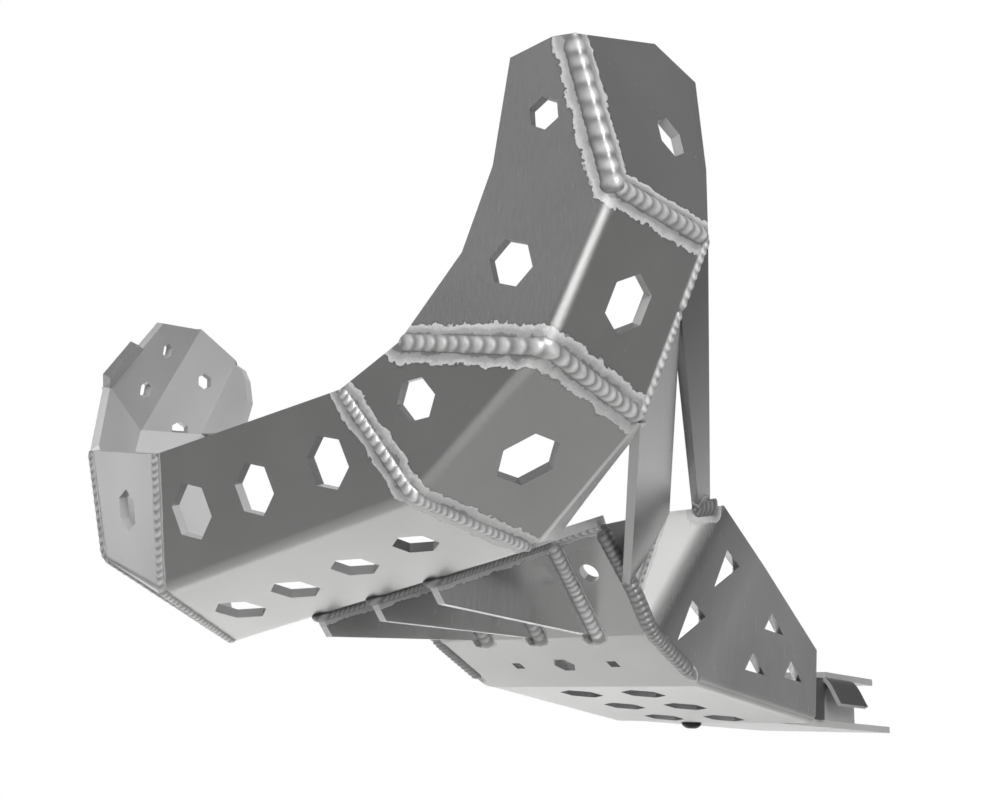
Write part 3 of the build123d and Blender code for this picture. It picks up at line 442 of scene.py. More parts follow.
def beyond_beads(tree, place, heats):
    """How far a point lies beyond the nearest bead, as a share of that bead's heat mark."""
    nearest = None
    for start, end, bead, mark in heats:
        along = end - start
        offset = arrow(tree, "SUBTRACT", place, start)
        share = arrow(tree, "DOT_PRODUCT", offset, along / along.length_squared)
        share = number(tree, "MULTIPLY", share, 1.0, clamp=True)
        foot = arrow(tree, "SCALE", along, scale=share)
        gap = number(tree, "SUBTRACT", arrow(tree, "DISTANCE", offset, foot), bead / 2)
        gap = number(tree, "DIVIDE", gap, mark)
        nearest = gap if nearest is None else number(tree, "MINIMUM", nearest, gap)
    return nearest


def ramp(tree, value, stops):
    """A colour ramp of grey stops, each a place and a level."""
    node = tree.nodes.new("ShaderNodeValToRGB")
    elements = node.color_ramp.elements
    while len(elements) < len(stops):
        elements.new(0.5)
    for element, (position, level) in zip(elements, stops):
        element.position = position
        element.color = grey(level)
    wire(tree, value, node.inputs["Fac"])
    return node.outputs["Color"]


def noise(tree, place, scale, detail=3.0, stretch=None):
    """Noise in the part's own coordinates, stretched for a rolling grain."""
    if stretch is not None:
        place = arrow(tree, "MULTIPLY", place, stretch)
    node = tree.nodes.new("ShaderNodeTexNoise")
    node.inputs["Scale"].default_value = scale
    node.inputs["Detail"].default_value = detail
    wire(tree, place, node.inputs["Vector"])
    return node.outputs["Fac"]


def blend_colour(tree, factor, first, second, mode="MIX"):
    """Two colours mixed by a factor. Sockets 6, 7 and 2 are the node's colour sockets."""
    node = tree.nodes.new("ShaderNodeMix")
    node.data_type = "RGBA"
    node.blend_type = mode
    for index, value in ((0, factor), (6, first), (7, second)):
        socket = node.inputs[index]
        if isinstance(value, bpy.types.NodeSocket):
            wire(tree, value, socket)
        else:
            socket.default_value = value
    return node.outputs[2]


def painted_wing_light(tree, place, normal):
    """Painted highlights on the wings' front facets and the tongue's side edges, and painted bright
    and dark bands along the wings' bends.
    """
    facing = number(tree, "ABSOLUTE", arrow(tree, "DOT_PRODUCT", normal, LEFT))
    facing = number(tree, "GREATER_THAN", facing, FACING_SIDE)
    from_bend = arrow(tree, "SUBTRACT", place, WING_BEND)
    along = arrow(tree, "DOT_PRODUCT", from_bend, ACROSS_WING_BEND)
    share = number(tree, "ADD", along, WING_SHIFT)
    share = number(tree, "MULTIPLY", share, WING_STRETCH, clamp=True)
    pale = ramp(tree, share, WING_PAINTED_HIGHLIGHT)
    backward = arrow(tree, "DOT_PRODUCT", place, BACKWARD)
    tongue = number(tree, "GREATER_THAN", backward, TONGUE_START)
    tongue = number(tree, "MULTIPLY", tongue, TONGUE_PAINTED_HIGHLIGHT)
    pale = number(tree, "MULTIPLY", number(tree, "MAXIMUM", pale, tongue), facing)
    return pale, blend_colour(tree, facing, WHITE, ramp(tree, share, WING_PAINTED_BANDS))


def ragged(tree, place):
    """How far the rim of a heat mark strays, from a fine and a broad noise."""
    fine = number(tree, "SUBTRACT", noise(tree, place, FINE_RIM, 2.0), 0.5)
    broad = number(tree, "SUBTRACT", noise(tree, place, BROAD_RIM, 1.0), 0.5)
    fine = number(tree, "MULTIPLY", fine, FINE_REACH)
    return number(tree, "ADD", fine, number(tree, "MULTIPLY", broad, BROAD_REACH))


def sheet_finish(
    name, heats, middle=None, shading=None, tone=SHEET_TONE, shine=SHEET_SHINE, inside=None
):
    """Brushed sheet, with heat marks beside beads on the faces that turn away from a point."""
    material, tree, shader = new_material(name)
    place = tree.nodes.new("ShaderNodeTexCoord").outputs["Object"]
    normal = tree.nodes.new("ShaderNodeNewGeometry").outputs["Normal"]

    cloud = noise(tree, place, CLOUD_SCALE, 4.0)
    grain = noise(tree, place, GRAIN_SCALE, 2.0, stretch=GRAIN_STRETCH)
    sheet_grey = ramp(tree, cloud, [(0.30, tone * 0.93), (0.72, tone * 1.05)])
    grain_grey = ramp(tree, grain, GRAIN_GREY)
    colour = blend_colour(tree, GRAIN_SHARE, sheet_grey, grain_grey, "MULTIPLY")
    roughness = ramp(tree, grain, GRAIN_ROUGHNESS)
    shader.inputs["Metallic"].default_value = shine

    if heats:
        mark = number(tree, "ADD", beyond_beads(tree, place, heats), ragged(tree, place))
        mark = number(tree, "MULTIPLY", mark, MARK_SCALE, clamp=True)
        frost = ramp(tree, mark, FROST)
        etched = ramp(tree, mark, ETCHED)
        if middle is not None:
            from_middle = arrow(tree, "SUBTRACT", place, middle)
            outwards = arrow(tree, "DOT_PRODUCT", normal, from_middle)
            outwards = number(tree, "GREATER_THAN", outwards, 0.0)
            frost = number(tree, "MULTIPLY", frost, outwards)
            etched = blend_colour(tree, outwards, WHITE, etched)
        # The shading function paints highlights and bright and dark bands into the sheet's colour
        if shading is not None:
            pale, painted_bands = shading(tree, place, normal)
            colour = blend_colour(tree, 1.0, colour, painted_bands, "MULTIPLY")
            colour = blend_colour(tree, pale, colour, PAINTED_HIGHLIGHT_METAL)
        frost_grey = ramp(tree, noise(tree, place, FROST_SPECK, 2.0), FROST_GREY)
        colour = blend_colour(tree, frost, colour, frost_grey)
        colour = blend_colour(tree, 1.0, colour, etched, "MULTIPLY")
        roughness = blend_colour(tree, frost, roughness, grey(FROST_ROUGHNESS))
        metallic = ramp(tree, frost, [(0.0, shine), (1.0, FROST_SHINE)])
        # Where the highlight is painted, the sheet is also rougher and less metallic
        if shading is not None:
            roughness = blend_colour(tree, pale, roughness, grey(PAINTED_HIGHLIGHT_ROUGHNESS))
            metallic = blend_colour(tree, pale, metallic, grey(PAINTED_HIGHLIGHT_SHINE))
        if inside is not None:
            inside_grey = ramp(tree, cloud, [(0.30, inside * 0.92), (0.72, inside * 1.08)])
            colour = blend_colour(tree, outwards, inside_grey, colour)
            roughness = blend_colour(tree, outwards, grey(INSIDE_ROUGHNESS), roughness)
            metallic = blend_colour(tree, outwards, grey(INSIDE_SHINE), metallic)
        wire(tree, metallic, shader.inputs["Metallic"])

    wire(tree, colour, shader.inputs["Base Color"])
    wire(tree, roughness, shader.inputs["Roughness"])
    return material


def heated(runs, bead, mark):
    """Runs of a seam with the widths of their bead and of the heat mark beside it."""
    return [(start, end, bead, mark) for start, end in runs]


RIDGE_HEAT = heated(RIDGE_RUN, bead=0.0095, mark=0.0062)
SIDE_HEAT = heated(SIDE_RUN, bead=0.0086, mark=0.0046)
UPPER_HEAT = heated(mitre_runs(2), bead=0.0082, mark=0.0052)
MIDDLE_HEAT = heated(mitre_runs(3), bead=0.0062, mark=0.0048)
LOWER_HEAT = heated(mitre_runs(4), bead=0.0062, mark=0.0016)
CORNER_HEAT = heated(mitre_runs(5), bead=0.0062, mark=0.0020)
END_HEAT = heated(mitre_runs(6), bead=0.0062, mark=0.0030)
WING_HEAT = heated(WING_RUN + WING_RUN_RIGHT, bead=0.0094, mark=0.0016)
SEAM_HEAT = heated(CORNER_RUN, bead=0.0050, mark=0.0030)
FOOT_HEAT = heated(FOOT_RUN, bead=0.0100, mark=0.0050)
PAN_TOP_HEAT = heated(PAN_TOP_RUN, bead=0.0060, mark=0.0020)
GUSSET_FOOT_HEAT = heated(GUSSET_FOOT_RUNS, bead=0.0150, mark=0.0016)
GUSSET_SIDE_HEAT = heated(GUSSET_TOP_RUNS, bead=0.0080, mark=0.0030)
GUARD_SEAMS = {
    "guard_side_plate": RIDGE_HEAT + SIDE_HEAT,
    "guard_upper_channel": RIDGE_HEAT + SIDE_HEAT + UPPER_HEAT,
    "guard_middle_channel": UPPER_HEAT + MIDDLE_HEAT,
    "guard_lower_channel": MIDDLE_HEAT + LOWER_HEAT + PAN_TOP_HEAT,
    "guard_corner_channel": LOWER_HEAT + CORNER_HEAT,
    "guard_riser_channel": CORNER_HEAT + END_HEAT,
    "guard_end_channel": END_HEAT,
    "guard_end_tab": [],
}
OTHER_SEAMS = {
    "corner_plate_left": WING_HEAT[2:3] + SEAM_HEAT,
    "gusset_left": GUSSET_SIDE_HEAT[:1],
    "gusset_centre": GUSSET_SIDE_HEAT[1:2],
    "gusset_right": GUSSET_SIDE_HEAT[2:],
}
BRACKET = ("rear_cheek_left", "rear_cheek_right", "rear_flange")
PAN_HEATS = WING_HEAT + SEAM_HEAT + FOOT_HEAT + PAN_TOP_HEAT + GUSSET_FOOT_HEAT


def dress(node, material):
    """Give one CAD node a finish."""
    mesh = nodes[node].data
    mesh.materials.clear()
    mesh.materials.append(material)


for node, heats in GUARD_SEAMS.items():
    inside = RISER_INSIDE if node == "guard_riser_channel" else GUARD_INSIDE
    dress(node, sheet_finish("sheet_" + node, heats, PIPE_MIDDLE, inside=inside))
for node, heats in OTHER_SEAMS.items():
    dress(node, sheet_finish("sheet_" + node, heats, tone=SEAM_TONE))
dress("strut_front", sheet_finish("sheet_strut_front", SEAM_HEAT, tone=STRUT_FRONT_TONE))
dress("strut_rear", sheet_finish("sheet_strut_rear", FOOT_HEAT, tone=STRUT_REAR_TONE))
for node in BRACKET:
    finish = sheet_finish("sheet_" + node, [], tone=BRACKET_TONE, shine=BRACKET_SHINE)
    dress(node, finish)
# The pan's wings get painted highlights and painted bright and dark bands
dress("skid_pan", sheet_finish("sheet_skid_pan", PAN_HEATS, PAN_MIDDLE, painted_wing_light))
print("sheet pieces:", len(GUARD_SEAMS) + len(OTHER_SEAMS) + len(BRACKET) + 3)

# %% [markdown]
# ## Weld metal
# A weld laid by hand is a row of overlapping coins. The shape carries most of that. The material
# adds a satin shine and a little soot, and its colour follows the crest attribute: lighter on the
# crests and darker in the valleys and towards the bead's edges, which is painted highlight and
# painted shade. It comes in three tones: bright, grey for the wings, and dull for the gussets'
# tops and the strut's foot.

# %% Weld finish
WELD_SHINE = 0.5
CREST_LIGHT_AND_SHADE = [(0.0, 0.42), (0.30, 0.66), (0.8, 0.92)]
SOOT_SCALE = 160.0
SOOT_GREY = [(0.3, 0.80), (0.7, 1.0)]
SOOT_ROUGHNESS = [(0.3, 0.34), (0.7, 0.48)]


def weld_finish(name, dull):
    """Weld metal with painted highlight on the crests and painted shade in the valleys, made darker
    by dull.
    """
    material, tree, shader = new_material(name)
    shader.inputs["Metallic"].default_value = WELD_SHINE
    place = tree.nodes.new("ShaderNodeTexCoord").outputs["Object"]
    crest = tree.nodes.new("ShaderNodeAttribute")
    crest.attribute_name = "crest"
    soot = noise(tree, place, SOOT_SCALE, 3.0)
    # Crest values pick a grey: painted highlight on the crests, painted shade in the valleys and at
    # the edges
    stops = [(position, level * dull) for position, level in CREST_LIGHT_AND_SHADE]
    crest_light_and_shade = ramp(tree, crest.outputs["Fac"], stops)
    colour = blend_colour(tree, 1.0, crest_light_and_shade, ramp(tree, soot, SOOT_GREY), "MULTIPLY")
    wire(tree, colour, shader.inputs["Base Color"])
    wire(tree, ramp(tree, soot, SOOT_ROUGHNESS), shader.inputs["Roughness"])
    return material


weld_metal = weld_finish("weld_metal", 1.0)
grey_weld = weld_finish("grey_weld", 0.68)
dull_weld = weld_finish("dull_weld", 0.5)
print("weld materials: 3")

# %% [markdown]
# ## The weld beads
# A bead could be a curve with a bevel, but a bevel can't ripple. So each bead is a tube of rings
# laid along its path. The path turns smoothly over a fold, and the crown of every ring rises and
# falls with the coins. No two coins of a hand-laid weld are alike, so their lengths wander a
# little. The crest of each coin is kept as an attribute for the colour of the weld metal.

# %% Bead maker
RING_STEP = 0.0006
ARC_POINTS = 15
COIN_TOP = 0.68
COIN_BOW = 0.45
COIN_WANDER = 0.22
WIDTH_WANDER = 0.05
THINNEST_END = 0.12
BLOB_REACH = 0.006
FOLD_ROUNDING = 0.007
FOLD_SWELL = 0.25
FLATTEST = 0.2
CROWN_POWER = 0.7
ROOT_DEPTH = 0.0012
ROOT_SHARE = 0.7
HOLLOW_ROOT = 0.3
PLAIN_RIPPLE = 0.26
DEEP_RIPPLE = 0.5
FAINT_RIPPLE = 0.12
DEEP_DARKENING = 0.5


def wander(value):
    """A steady number between -1 and 1 that looks like chance."""
    return math.sin(value * 12.9898) * 0.6 + math.sin(value * 4.1414 + 1.7) * 0.4


def rounded_path(corners, faces, rounding):
    """Points and pairs of face normals along a chain of straight runs, smooth at the corners."""
    path = []
    for index in range(len(corners) - 1):
        start, end = corners[index], corners[index + 1]
        along = (end - start).normalized()
        is_last = index == len(corners) - 2
        begin = start + along * (rounding if index else 0.0)
        stop = end - along * (0.0 if is_last else rounding)
        steps = max(2, int((stop - begin).length / RING_STEP))
        for step in range(steps + 1):
            path.append((begin.lerp(stop, step / steps), *faces[index], 0.0))
        if is_last:
            continue
        after = end + (corners[index + 2] - end).normalized() * rounding
        steps = max(4, int(2 * rounding / RING_STEP))
        for step in range(1, steps):
            share = step / steps
            point = stop.lerp(end, share).lerp(end.lerp(after, share), share)
            first = faces[index][0].lerp(faces[index + 1][0], share).normalized()
            second = faces[index][1].lerp(faces[index + 1][1], share).normalized()
            path.append((point, first, second, math.sin(math.pi * share)))
    return path


def coin_edges(length, pitch, seed):
    """Where each coin of a bead ends, measured along the bead."""
    edges = [-pitch]
    while edges[-1] < length + 2 * pitch:
        edges.append(edges[-1] + pitch * (1 + COIN_WANDER * wander(len(edges) + seed)))
    return edges


def coin_height(distance, across, edges, pitch):
    """How high the coin stack stands at a place along and across the bead, from 0 to 1."""
    bowed = distance - COIN_BOW * pitch * (1 - across * across)
    index = 0
    while index < len(edges) - 2 and edges[index + 1] < bowed:
        index += 1
    share = min(1.0, max(0.0, (bowed - edges[index]) / (edges[index + 1] - edges[index])))
    climb = share / COIN_TOP if share < COIN_TOP else (1 - share) / (1 - COIN_TOP)
    return 0.5 - 0.5 * math.cos(math.pi * climb)


def round_end(distance, radius):
    """How full a bead is at a distance from its end, which is a dome."""
    share = min(1.0, max(0.0, distance / radius))
    return max(THINNEST_END, math.sqrt(1 - (1 - share) ** 2))


def show_piece(made, name, material, slot, *replaced):
    """Turn a bmesh into a piece that rides on the part and stands for CAD nodes."""
    mesh = bpy.data.meshes.new(name)
    made.to_mesh(mesh)
    made.free()
    mesh.materials.append(material)
    piece = bpy.data.objects.new(name, mesh)
    scene.collection.objects.link(piece)
    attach(piece, "root")
    if replaced:
        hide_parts(*replaced)
    return piece


def skin(made, rings):
    """Faces between rings of points, with a cap at each end, all facing out."""
    count = len(rings[0])
    for near, far in zip(rings, rings[1:]):
        for k in range(count):
            j = (k + 1) % count
            made.faces.new((near[k], near[j], far[j], far[k]))
    made.faces.new(rings[0][::-1])
    made.faces.new(rings[-1])
    bmesh.ops.recalc_face_normals(made, faces=made.faces)


def lay_bead(
    node,
    corners,
    faces,
    width,
    height,
    pitch,
    hollow=False,
    rounding=FOLD_ROUNDING,
    swell=FOLD_SWELL,
    blob=0.0,
    ripple=PLAIN_RIPPLE,
    metal=weld_metal,
):
    """One rippled bead that stands for a CAD weld, over an edge or in a hollow corner."""
    path = rounded_path(corners, faces, rounding)
    length = sum((b[0] - a[0]).length for a, b in zip(path, path[1:]))
    seed = len(bpy.data.objects)
    edges = coin_edges(length, pitch, seed)
    # Deeply rippled beads are made darker overall
    deepened = (ripple - PLAIN_RIPPLE) / (DEEP_RIPPLE - PLAIN_RIPPLE)
    brightness = 1 - DEEP_DARKENING * deepened
    made = bmesh.new()
    crests = made.verts.layers.float.new("crest")
    rings = []
    travelled = 0.0
    for index, (point, first, second, corner) in enumerate(path):
        before = path[max(0, index - 1)][0]
        after = path[min(len(path) - 1, index + 1)][0]
        travelled += (point - before).length
        lift = (first + second).normalized()
        tangent = (after - before).normalized()
        side = tangent.cross(lift).normalized()
        up = side.cross(tangent).normalized()
        taper = round_end(travelled, width / 2) * round_end(length - travelled, width / 2)
        plump = 1 + swell * corner + blob * math.exp(-(((length - travelled) / BLOB_REACH) ** 2))
        uneven = 1 + WIDTH_WANDER * wander(travelled / pitch + seed)
        half = width / 2 * plump * taper * uneven
        lean = math.tan(math.acos(min(1.0, max(FLATTEST, first.dot(lift)))))
        base = half * lean * (1 if hollow else -1)
        peak = (base if hollow else 0.0) + height * plump * taper
        ring = []
        for step in range(ARC_POINTS):
            across = -1 + 2 * step / (ARC_POINTS - 1)
            stack = coin_height(travelled, across, edges, pitch)
            crown = math.cos(math.pi / 2 * across) ** CROWN_POWER if abs(across) < 1 else 0.0
            rise = base + (peak - base) * crown - ripple * height * crown * (1 - stack)
            vert = made.verts.new(point + side * (across * half) + up * rise)
            # The crest value paints the weld lighter on the coins' tops and darker in the valleys
            # and towards the bead's edges: painted highlight and painted shade
            vert[crests] = stack * crown * brightness
            ring.append(vert)
        depth = min(base, 0.0) - ROOT_DEPTH
        for across in (ROOT_SHARE, -ROOT_SHARE):
            inwards = across * half * (HOLLOW_ROOT if hollow else 1)
            ring.append(made.verts.new(point + side * inwards + up * depth))
        rings.append(ring)
    skin(made, rings)
    for face in made.faces:
        face.smooth = len(face.verts) == 4
    show_piece(made, node.replace("weld_", "bead_"), metal, "weld_metal", node)


print("rings every", RING_STEP * 1000, "mm")

# %% [markdown]
# ## Beads of the guard
# Each mitre is one bead from edge to edge over the ridge. The welder filled the top seams with
# broad coins and the lower ones with small quick ones, so every bead has its own width and pitch.

# %% Guard beads
RIDGE_OVERRUN = 0.003
# Each row: the seam's index, then the bead's width, height and pitch
MITRES = {
    "weld_mitre_upper": (2, 0.0080, 0.0019, 0.0066),
    "weld_mitre_middle": (3, 0.0060, 0.0017, 0.0042),
    "weld_mitre_lower": (4, 0.0062, 0.0016, 0.0044),
    "weld_mitre_corner": (5, 0.0062, 0.0016, 0.0044),
    "weld_mitre_end": (6, 0.0062, 0.0016, 0.0044),
}
for node, (index, width, height, pitch) in MITRES.items():
    faces = [
        (FRONT_FACE[index - 2], FRONT_FACE[index - 1]),
        (REAR_FACE[index - 2], REAR_FACE[index - 1]),
    ]
    corners = [FRONT_EDGE[index], RIDGE[index], REAR_EDGE[index]]
    lay_bead(node, corners, faces, width, height, pitch)
lay_bead(
    "weld_side_plate",
    [RIDGE[1], REAR_EDGE[1]],
    [(SIDE_FACE, REAR_FACE[0])],
    width=0.0086,
    height=0.0018,
    pitch=0.0056,
)
ridge_end = RIDGE[1] + (RIDGE[1] - RIDGE[0]).normalized() * RIDGE_OVERRUN
lay_bead(
    "weld_ridge",
    [RIDGE[0], ridge_end],
    [(FRONT_FACE[0], SIDE_FACE)],
    width=0.0098,
    height=0.0023,
    pitch=0.0076,
    blob=0.25,
)
print("guard beads:", len(MITRES) + 2)

# %% [markdown]
# ## Beads of the pan
# The wings are welded to the ramp and the nose from outside, over the corner. The seam runs on
# round the corner plate, up to the guard's floor.

# %% Pan beads
WING_STOP = 0.92
WING_BEAD = {
    "width": 0.0094,
    "height": 0.0020,
    "pitch": 0.0037,
    "swell": 0.0,
    "ripple": DEEP_RIPPLE,
    "metal": grey_weld,
}
lay_bead(
    "weld_wing_left",
    [RAMP_START, RAMP_CORNER, NOSE_CORNER, NOSE_CORNER.lerp(FLOOR_LEFT, WING_STOP)],
    [(WING_MIDDLE_FACE, RAMP_FACE), (WING_FRONT_FACE, NOSE_FACE), (CORNER_FACE, NOSE_FACE)],
    **WING_BEAD,
)
lay_bead(
    "weld_wing_right",
    [mirrored(RAMP_START), mirrored(RAMP_CORNER), mirrored(NOSE_CORNER)],
    [(mirrored(WING_MIDDLE_FACE), RAMP_FACE), (mirrored(WING_FRONT_FACE), NOSE_FACE)],
    **WING_BEAD,
)
lay_bead(
    "weld_corner_plate",
    [NOSE_CORNER, WING_FRONT_TOP],
    [(WING_FRONT_FACE, STRUT_FRONT_FACE)],
    width=0.0050,
    height=0.0008,
    pitch=0.0050,
    hollow=True,
)
lay_bead(
    "weld_pan_top",
    PAN_TOP_RUN[0],
    [(NOSE_FACE, FLOOR_FACE)],
    width=0.0060,
    height=0.0006,
    pitch=0.0050,
    hollow=True,
)
print("pan beads: 4")

# %% [markdown]
# ## Beads of the gussets and struts
# A gusset is welded on both sides, and the bead wraps round its free end. So the path is a narrow
# U: down one side, round the end and up the other side, always in the corner between two faces.

# %% Gusset and strut beads
FOOT_WRAP = 0.0004
TIP_WRAP = -0.0022
FOOT_WIDTH = 0.0078
TIP_WIDTH = 0.0058
TURN_SHARE = 0.9
STRUT_OVERRUN = 0.002
GUSSET_BEAD = {"height": 0.0014, "pitch": 0.0037, "hollow": True, "swell": 0.0}
STRUT_BEAD = {"width": 0.0050, "height": 0.0016, "pitch": 0.0040}


def wrapped_bead(node, start, end, face, width, wrap, ripple, metal):
    """A bead round a gusset, from start to its free end and back on the other side."""
    down = (end - start).normalized()
    left, right = LEFT * HALF_SHEET, LEFT * -HALF_SHEET
    turn = end + down * wrap
    corners = [start + left, turn + left, turn + right, start + right]
    faces = [(LEFT, face), (down, face), (-LEFT, face)]
    options = {"rounding": HALF_SHEET * TURN_SHARE, "ripple": ripple, "metal": metal}
    lay_bead(node, corners, faces, width, **GUSSET_BEAD, **options)


for name, (foot, top, tip) in GUSSETS.items():
    foot_node, top_node = "weld_gusset_foot_" + name, "weld_gusset_top_" + name
    wrapped_bead(foot_node, top, foot, NOSE_FACE, FOOT_WIDTH, FOOT_WRAP, DEEP_RIPPLE, weld_metal)
    wrapped_bead(top_node, top, tip, FLOOR_FACE, TIP_WIDTH, TIP_WRAP, FAINT_RIPPLE, dull_weld)
front_faces = [(REAR_FACE[0], STRUT_FRONT_FACE)]
rear_faces = [(REAR_FACE[0], STRUT_REAR_FACE)]
lay_bead("weld_strut_front", STRUT_FRONT_RUN[0], front_faces, **STRUT_BEAD)
lay_bead("weld_strut_rear", STRUT_REAR_RUN[0], rear_faces, **STRUT_BEAD)
foot_along = (STRUT_FOOT[0] - STRUT_FOOT[1]).normalized() * STRUT_OVERRUN
lay_bead(
    "weld_strut_foot",
    [STRUT_FOOT[0] + foot_along, STRUT_FOOT[1] - foot_along],
    [(WING_FRONT_FACE, STRUT_REAR_FACE)],
    width=0.0110,
    height=0.0016,
    pitch=0.0055,
    hollow=True,
    metal=dull_weld,
)
print("gusset and strut beads: 9")

# %% [markdown]
# ## Tacks of the end tab
# The small tab is only tacked. A tack is a drop of metal that froze where it fell: a low dome with
# a ring of ripples and a small crater.

# %% Tacks
TAB = [Vector((0.16565, 0.29335, 0.13186)), Vector((0.16569, 0.27657, 0.16551))]
TAB_FACE = FRONT_FACE[5]
TACK_RINGS = 14
TACK_SPOKES = 24
TACK_RADIUS = 0.0048
TACK_RISE = 0.0024
TACK_ROOT = 0.0012
TACK_UNEVEN = 0.06
CRATER_DEPTH = 0.0005
CRATER_EDGE = 9
CRATER_CREST = 0.4
WAVES = 20
WAVE_RISE = 0.00012
TACK_SHARES = {"weld_tab_low": 0.2, "weld_tab_high": 0.8}


def lay_tack(node, share):
    """A drop of weld metal on the tab's edge."""
    centre = TAB[0].lerp(TAB[1], share)
    up = TAB_FACE.normalized()
    along = (TAB[1] - TAB[0]).normalized()
    side = up.cross(along).normalized()
    made = bmesh.new()
    crests = made.verts.layers.float.new("crest")
    top = made.verts.new(centre + up * (TACK_RISE - CRATER_DEPTH))
    top[crests] = CRATER_CREST
    rings = []
    for step in range(1, TACK_RINGS + 1):
        out = step / TACK_RINGS
        wave = math.cos(out * WAVES)
        ring = []
        for spoke in range(TACK_SPOKES):
            angle = 2 * math.pi * spoke / TACK_SPOKES
            uneven = 1 + TACK_UNEVEN * math.sin(3 * angle + share * 9)
            radius = TACK_RADIUS * out * uneven
            dome = TACK_RISE * math.sqrt(max(0.0, 1 - out * out))
            rise = dome - CRATER_DEPTH * math.exp(-CRATER_EDGE * out) + wave * WAVE_RISE
            offset = along * math.cos(angle) * radius + side * math.sin(angle) * radius
            vert = made.verts.new(centre + offset + up * rise)
            # The crest value paints the drop lighter on its ripples' crests and darker in their
            # troughs: painted highlight and painted shade
            vert[crests] = 0.5 + 0.5 * wave
            ring.append(vert)
        rings.append(ring)
    bottom = made.verts.new(centre - up * TACK_ROOT)
    for k in range(TACK_SPOKES):
        j = (k + 1) % TACK_SPOKES
        made.faces.new((top, rings[0][k], rings[0][j]))
        for near, far in zip(rings, rings[1:]):
            made.faces.new((near[k], far[k], far[j], near[j]))
        made.faces.new((bottom, rings[-1][j], rings[-1][k]))
    bmesh.ops.recalc_face_normals(made, faces=made.faces)
    for face in made.faces:
        face.smooth = True
    show_piece(made, node.replace("weld_", "drop_"), weld_metal, "weld_metal", node)


for node, share in TACK_SHARES.items():
    lay_tack(node, share)
print("tacks:", len(TACK_SHARES))

# %% [markdown]
# ## Bolt, nut and clip
# The bolt is black, the nut is plain zinc-plated steel and the clip at the rear is coated dark. All
# three get small specks that break up colour and shine. The nut keeps its CAD shape.

# %% Small metal finishes
SPECK_BUMP = 0.1
SPECK_DEPTH = 0.0002


def small_finish(name, tone, shine, rough, specks_at):
    """A finish for small parts, with specks of some scale in its colour and shine."""
    material, tree, shader = new_material(name)
    shader.inputs["Metallic"].default_value = shine
    place = tree.nodes.new("ShaderNodeTexCoord").outputs["Object"]
    specks = noise(tree, place, specks_at, 4.0)
    colour = ramp(tree, specks, [(0.3, tone * 0.75), (0.7, tone * 1.2)])
    roughness = ramp(tree, specks, [(0.3, rough * 0.8), (0.7, rough * 1.2)])
    wire(tree, colour, shader.inputs["Base Color"])
    wire(tree, roughness, shader.inputs["Roughness"])
    bump = tree.nodes.new("ShaderNodeBump")
    bump.inputs["Strength"].default_value = SPECK_BUMP
    bump.inputs["Distance"].default_value = SPECK_DEPTH
    wire(tree, specks, bump.inputs["Height"])
    wire(tree, bump.outputs["Normal"], shader.inputs["Normal"])
    return material


black_bolt = small_finish("black_bolt", tone=0.03, shine=0.6, rough=0.32, specks_at=500.0)
plain_nut = small_finish("plain_nut", tone=0.55, shine=0.95, rough=0.30, specks_at=400.0)
dress("base_nut", plain_nut)
dark_clip = small_finish("dark_clip", tone=0.11, shine=0.2, rough=0.50, specks_at=900.0)
print("small finishes: 3")

# %% [markdown]
# ## The bolt
# The tongue has one black bolt with a domed head and a hexagon socket. A real one is turned and
# then pressed, so its mesh is a profile spun round an axis, with a socket of six flats.

# %% Bolt
BOLT_PLACE = Vector((0.025, -0.1699, 0.00188))
BOLT_DOWN = Vector((0.0, -0.1045, -0.9945))
BOLT_SPOKES = 48
SOCKET_FLATS = 0.0050
SOCKET_DEPTHS = (0.0043, 0.0018)
# Each row: how far down the axis, and the radius there
BOLT_PROFILE = [
    (-0.0158, 0.0034),
    (-0.0152, 0.0040),
    (-0.0120, 0.0040),
    (0.0000, 0.0040),
    (0.0000, 0.0075),
    (0.0011, 0.0075),
    (0.0019, 0.0071),
    (0.0030, 0.0060),
    (0.0038, 0.0047),
    (0.0043, 0.0035),
]
bolt_across = BOLT_DOWN.orthogonal().normalized()
bolt_other = BOLT_DOWN.cross(bolt_across).normalized()


def bolt_point(height, radius, angle):
    """A point of the bolt, measured down its axis from the sheet."""
    out = bolt_across * math.cos(angle) + bolt_other * math.sin(angle)
    return BOLT_PLACE + BOLT_DOWN * height + out * radius


def hexagon_radius(angle, flats):
    """The radius of a hexagon at an angle."""
    return flats / 2 / math.cos((angle + math.pi / 6) % (math.pi / 3) - math.pi / 6)


bolt_made = bmesh.new()
angles = [2 * math.pi * spoke / BOLT_SPOKES for spoke in range(BOLT_SPOKES)]
bolt_rings = []
for height, radius in BOLT_PROFILE:
    bolt_rings.append([bolt_made.verts.new(bolt_point(height, radius, a)) for a in angles])
for depth in SOCKET_DEPTHS:
    socket = [bolt_point(depth, hexagon_radius(a, SOCKET_FLATS), a) for a in angles]
    bolt_rings.append([bolt_made.verts.new(point) for point in socket])
for near, far in zip(bolt_rings, bolt_rings[1:]):
    for k in range(BOLT_SPOKES):
        j = (k + 1) % BOLT_SPOKES
        face = bolt_made.faces.new((near[k], near[j], far[j], far[k]))
        face.smooth = near is not bolt_rings[-2]
bolt_made.faces.new(bolt_rings[0])
bolt_made.faces.new(bolt_rings[-1])
bmesh.ops.recalc_face_normals(bolt_made, faces=bolt_made.faces)
bolt = show_piece(bolt_made, "dome_bolt", black_bolt, "black_bolt", "base_bolt")
print("bolt vertices:", len(bolt.data.vertices))

# %% [markdown]
# ## The lip of the middle channel
# Behind the middle channel the sheet runs on past a soft bend. This lip is widest where it meets
# the guard's floor, and narrows towards the seam above. A grid of points follows the bend: each row
# starts on the channel's edge, turns inwards over a few millimetres and then runs straight.

